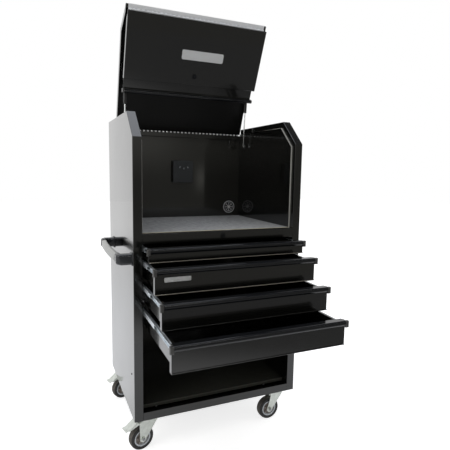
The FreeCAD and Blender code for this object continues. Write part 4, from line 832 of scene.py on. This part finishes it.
for corner in wheel_corners:
    wheel_name = "caster_wheel_" + corner
    fork_name = "caster_fork_" + corner
    spin = along_axis(joints["wheel_spin_" + corner])
    low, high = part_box(wheel_name)
    skin = bmesh.new()
    lathe(skin, tyre_outline((high.z - low.z) / 2), 72)
    for face in skin.faces:
        middle = face.calc_center_median()
        face.material_index = int(math.hypot(middle.x, middle.y) > tread_radius - shoulder / 2
                                  and abs(middle.z) < tyre_half - shoulder / 2)
    skin.transform(spin)
    tyre = add_piece("caster_tyre_" + corner, mesh_of(skin, "caster_tyre_" + corner), wheel_name,
                     tyre_rubber, [wheel_name])
    tyre.data.materials.append(tread_rubber)
    skin = bmesh.new()
    lathe(skin, [(lip_radius, -rim_half), (rim_radius - chamfer, -rim_half), (rim_radius, -rim_half + chamfer),
                 (rim_radius, rim_half - chamfer), (rim_radius - chamfer, rim_half), (lip_radius, rim_half),
                 (lip_radius - chamfer, rim_half - chamfer), (lip_radius - 2 * chamfer, web_half),
                 (lip_radius - 2 * chamfer, -web_half), (lip_radius - chamfer, -rim_half + chamfer)], 72)
    skin.transform(spin)
    add_piece("caster_rim_" + corner, mesh_of(skin, "caster_rim_" + corner), wheel_name, rim_nylon,
              [wheel_name])
    skin = bmesh.new()
    lathe(skin, [(bore_radius, -hub_half), (hub_radius - chamfer, -hub_half), (hub_radius, -hub_half + chamfer),
                 (hub_radius + chamfer, -web_half - chamfer), (hub_radius + 2 * chamfer, -web_half),
                 (lip_radius - chamfer, -web_half), (lip_radius - chamfer, web_half),
                 (hub_radius + 2 * chamfer, web_half), (hub_radius + chamfer, web_half + chamfer),
                 (hub_radius, hub_half - chamfer), (hub_radius - chamfer, hub_half), (bore_radius, hub_half)])
    skin.transform(spin)
    add_piece("caster_hub_" + corner, mesh_of(skin, "caster_hub_" + corner), wheel_name, web_nylon,
              [wheel_name])
    rib = bmesh.new()
    turned_box(rib, ((hub_radius + lip_radius) / 2, 0, 0), (lip_radius - hub_radius, rib_width, 2 * rib_half),
               None, rib_width / 4)
    ribs = repeated(rib, rings, {"Count": rib_count, "First Turn": 0.3, "Finish": web_nylon}, spin)
    add_piece("caster_ribs_" + corner, ribs, wheel_name, None, [wheel_name])
    smooth_copy(fork_name, fork_name, fork_zinc)
    nuts = bmesh.new()
    for side in (-1, 1):
        nut = bmesh.new()
        lathe(nut, [(0, 0), (nut_radius, 0), (nut_radius, nut_height - chamfer),
                    (nut_radius - chamfer, nut_height), (0, nut_height)], 6)
        lathe(nut, [(0, nut_height / 2), (stub_radius, nut_height / 2), (stub_radius, nut_height + chamfer),
                    (stub_radius - chamfer, nut_height + 1.5 * chamfer), (0, nut_height + 1.5 * chamfer)], 20)
        flip = Matrix.Identity(4) if side > 0 else Matrix.Rotation(math.pi, 4, "X")
        nut.transform(spin @ flip @ Matrix.Translation((0, 0, nut_seat)))
        half = bpy.data.meshes.new("half")
        nut.to_mesh(half)
        nut.free()
        nuts.from_mesh(half)
        bpy.data.meshes.remove(half)
    add_piece("caster_nuts_" + corner, mesh_of(nuts, "caster_nuts_" + corner), fork_name, housing_zinc)
smooth_copy("caster_plates", "cabinet", fork_zinc)
smooth_copy("caster_bolts", "cabinet", housing_zinc)


# Brake pedals. Zinc plated pressed steel, with cross ribs that keep a boot from slipping. Each
# turns on a pin through its fork.
tread_rib = (0.0022, 0.026, 0.0012)
rib_pitch_along = 0.0062
tread_ribs = 4
slope_run = Vector((-0.031, 0, -0.021))
slope_start = Vector((-0.007, 0, 0.008))
slope_turn = Matrix.Rotation(-math.atan2(-slope_run.z, -slope_run.x), 4, "Y")
for corner in ("front_left", "rear_left"):
    pedal_name = "brake_pedal_" + corner
    hinge = joints[pedal_name]
    across = -Vector(hinge["axis"])
    forward = across.cross(Vector((0, 0, 1)))
    place = Matrix.Translation(hinge["pos_m"]) @ Matrix((forward, across, (0, 0, 1))).transposed().to_4x4()
    smooth_copy(pedal_name, pedal_name, fork_zinc)
    rib = bmesh.new()
    turned_box(rib, (0, 0, 0), tread_rib, slope_turn, tread_rib[2] / 3)
    step = slope_run.normalized() * rib_pitch_along
    start = slope_start + step * 1.2
    ribs = repeated(rib, rows, {"Count": tread_ribs, "Start": start, "Step": step, "Finish": fork_zinc}, place)
    add_piece(pedal_name + "_ribs", ribs, pedal_name, None)


# Fixings. Black pan head screws hold the strut brackets and the sides, and black rivets close the
# edges of the back panel.
screw_steel = plated("blackened steel screw", "#1b1b1c", "#343436", 0.3, 0.002)
head_radius = 0.004
head_height = 0.0018
socket_radius = 0.0015
socket_depth = 0.001
head_outline = [(0, head_height - socket_depth), (socket_radius, head_height - socket_depth),
                (socket_radius * 1.1, head_height), (head_radius * 0.7, head_height * 0.85),
                (head_radius * 0.96, head_height * 0.35), (head_radius, 0), (0, 0)]
back_low, back_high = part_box("back_panel")
rivet_inset = 0.012
rivet_end = 0.06
rivet_count = 9
for side, x in (("left", back_low.x + rivet_inset), ("right", back_high.x - rivet_inset)):
    head = bmesh.new()
    lathe(head, head_outline, 14)
    head.transform(Matrix.Rotation(math.radians(-90), 4, "X"))
    start = Vector((x, back_high.y, back_low.z + rivet_end))
    step = Vector((0, 0, (back_high.z - back_low.z - 2 * rivet_end) / (rivet_count - 1)))
    rivets = repeated(head, rows, {"Count": rivet_count, "Start": start, "Step": step, "Finish": powder_coat})
    add_piece("back_rivets_" + side, rivets, "cabinet", None)
bracket_low, bracket_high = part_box("strut_brackets")
bracket_sheet = 0.002
bracket_screw_y = bracket_low.y + 0.009
bracket_screw_end = 0.014
for side, x, turn in (("left", bracket_low.x + bracket_sheet, 90), ("right", bracket_high.x - bracket_sheet, -90)):
    head = bmesh.new()
    lathe(head, head_outline, 14)
    head.transform(Matrix.Rotation(math.radians(turn), 4, "Y"))
    start = Vector((x, bracket_screw_y, bracket_low.z + bracket_screw_end))
    step = Vector((0, 0, (bracket_high.z - bracket_low.z) - 2 * bracket_screw_end))
    screws = repeated(head, rows, {"Count": 2, "Start": start, "Step": step, "Finish": screw_steel})
    add_piece("bracket_screws_" + side, screws, "cabinet", None)
shelf_screw_back = 0.05
shelf_screw_z = 0.325
side_low, side_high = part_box("left_side_panel")
head = bmesh.new()
lathe(head, head_outline, 14)
head.transform(Matrix.Translation((side_low.x, front_y + shelf_screw_back, shelf_screw_z))
               @ Matrix.Rotation(math.radians(-90), 4, "Y"))
add_piece("side_screw", mesh_of(head, "side_screw"), "cabinet", screw_steel)


# Plain plates. One bare plate of brushed stainless steel is stuck to the door and a smaller one to
# the front of the second drawer.
def plate_mesh(name, width, height, thickness, corner, place):
    """A flat plate with round corners and a fine bevel, lying on its place's XY plane."""
    skin = bmesh.new()
    points = []
    for side_x, side_y, first in ((1, 1, 0), (-1, 1, 90), (-1, -1, 180), (1, -1, 270)):
        for step in range(5):
            turn = math.radians(first + 90 * step / 4)
            points.append(skin.verts.new((side_x * (width / 2 - corner) + corner * math.cos(turn),
                                          side_y * (height / 2 - corner) + corner * math.sin(turn), 0)))
    base = skin.faces.new(points)
    raised = bmesh.ops.extrude_face_region(skin, geom=[base])["geom"]
    top = [item for item in raised if isinstance(item, bmesh.types.BMVert)]
    bmesh.ops.translate(skin, verts=top, vec=(0, 0, thickness))
    top_edges = [edge for edge in skin.edges if all(abs(vert.co.z - thickness) < 1e-6 for vert in edge.verts)]
    bmesh.ops.bevel(skin, geom=top_edges, offset=thickness / 3, segments=2, affect="EDGES", profile=0.5)
    skin.transform(place)
    return mesh_of(skin, name)


plate_steel = plated("brushed stainless steel", "#dcdedf", "#f2f3f4", 0.55, 0.0008, (0.02, 1.0, 1.0))
door_face = joints["door_lock_turn"]
outward = Vector(door_face["axis"])
door_up = Vector((0, outward.z, -outward.y))
plate_aside = 0.028
plate_rise = 0.092
place = Matrix((Vector((1, 0, 0)), door_up, outward)).transposed().to_4x4()
middle = Vector(door_face["pos_m"]) + Vector((plate_aside, 0, 0)) + door_up * plate_rise
add_piece("door_plate", plate_mesh("door_plate", 0.2, 0.042, 0.0015, 0.006, Matrix.Translation(middle) @ place),
          "door", plate_steel)
drawer_low, drawer_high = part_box("drawer_2_body")
middle = Vector((drawer_low.x + 0.082, drawer_low.y, drawer_high.z - 0.0375))
add_piece("drawer_plate", plate_mesh("drawer_plate", 0.098, 0.017, 0.001, 0.003,
                                     Matrix.Translation(middle) @ facing_front),
          "drawer_2", plate_steel)
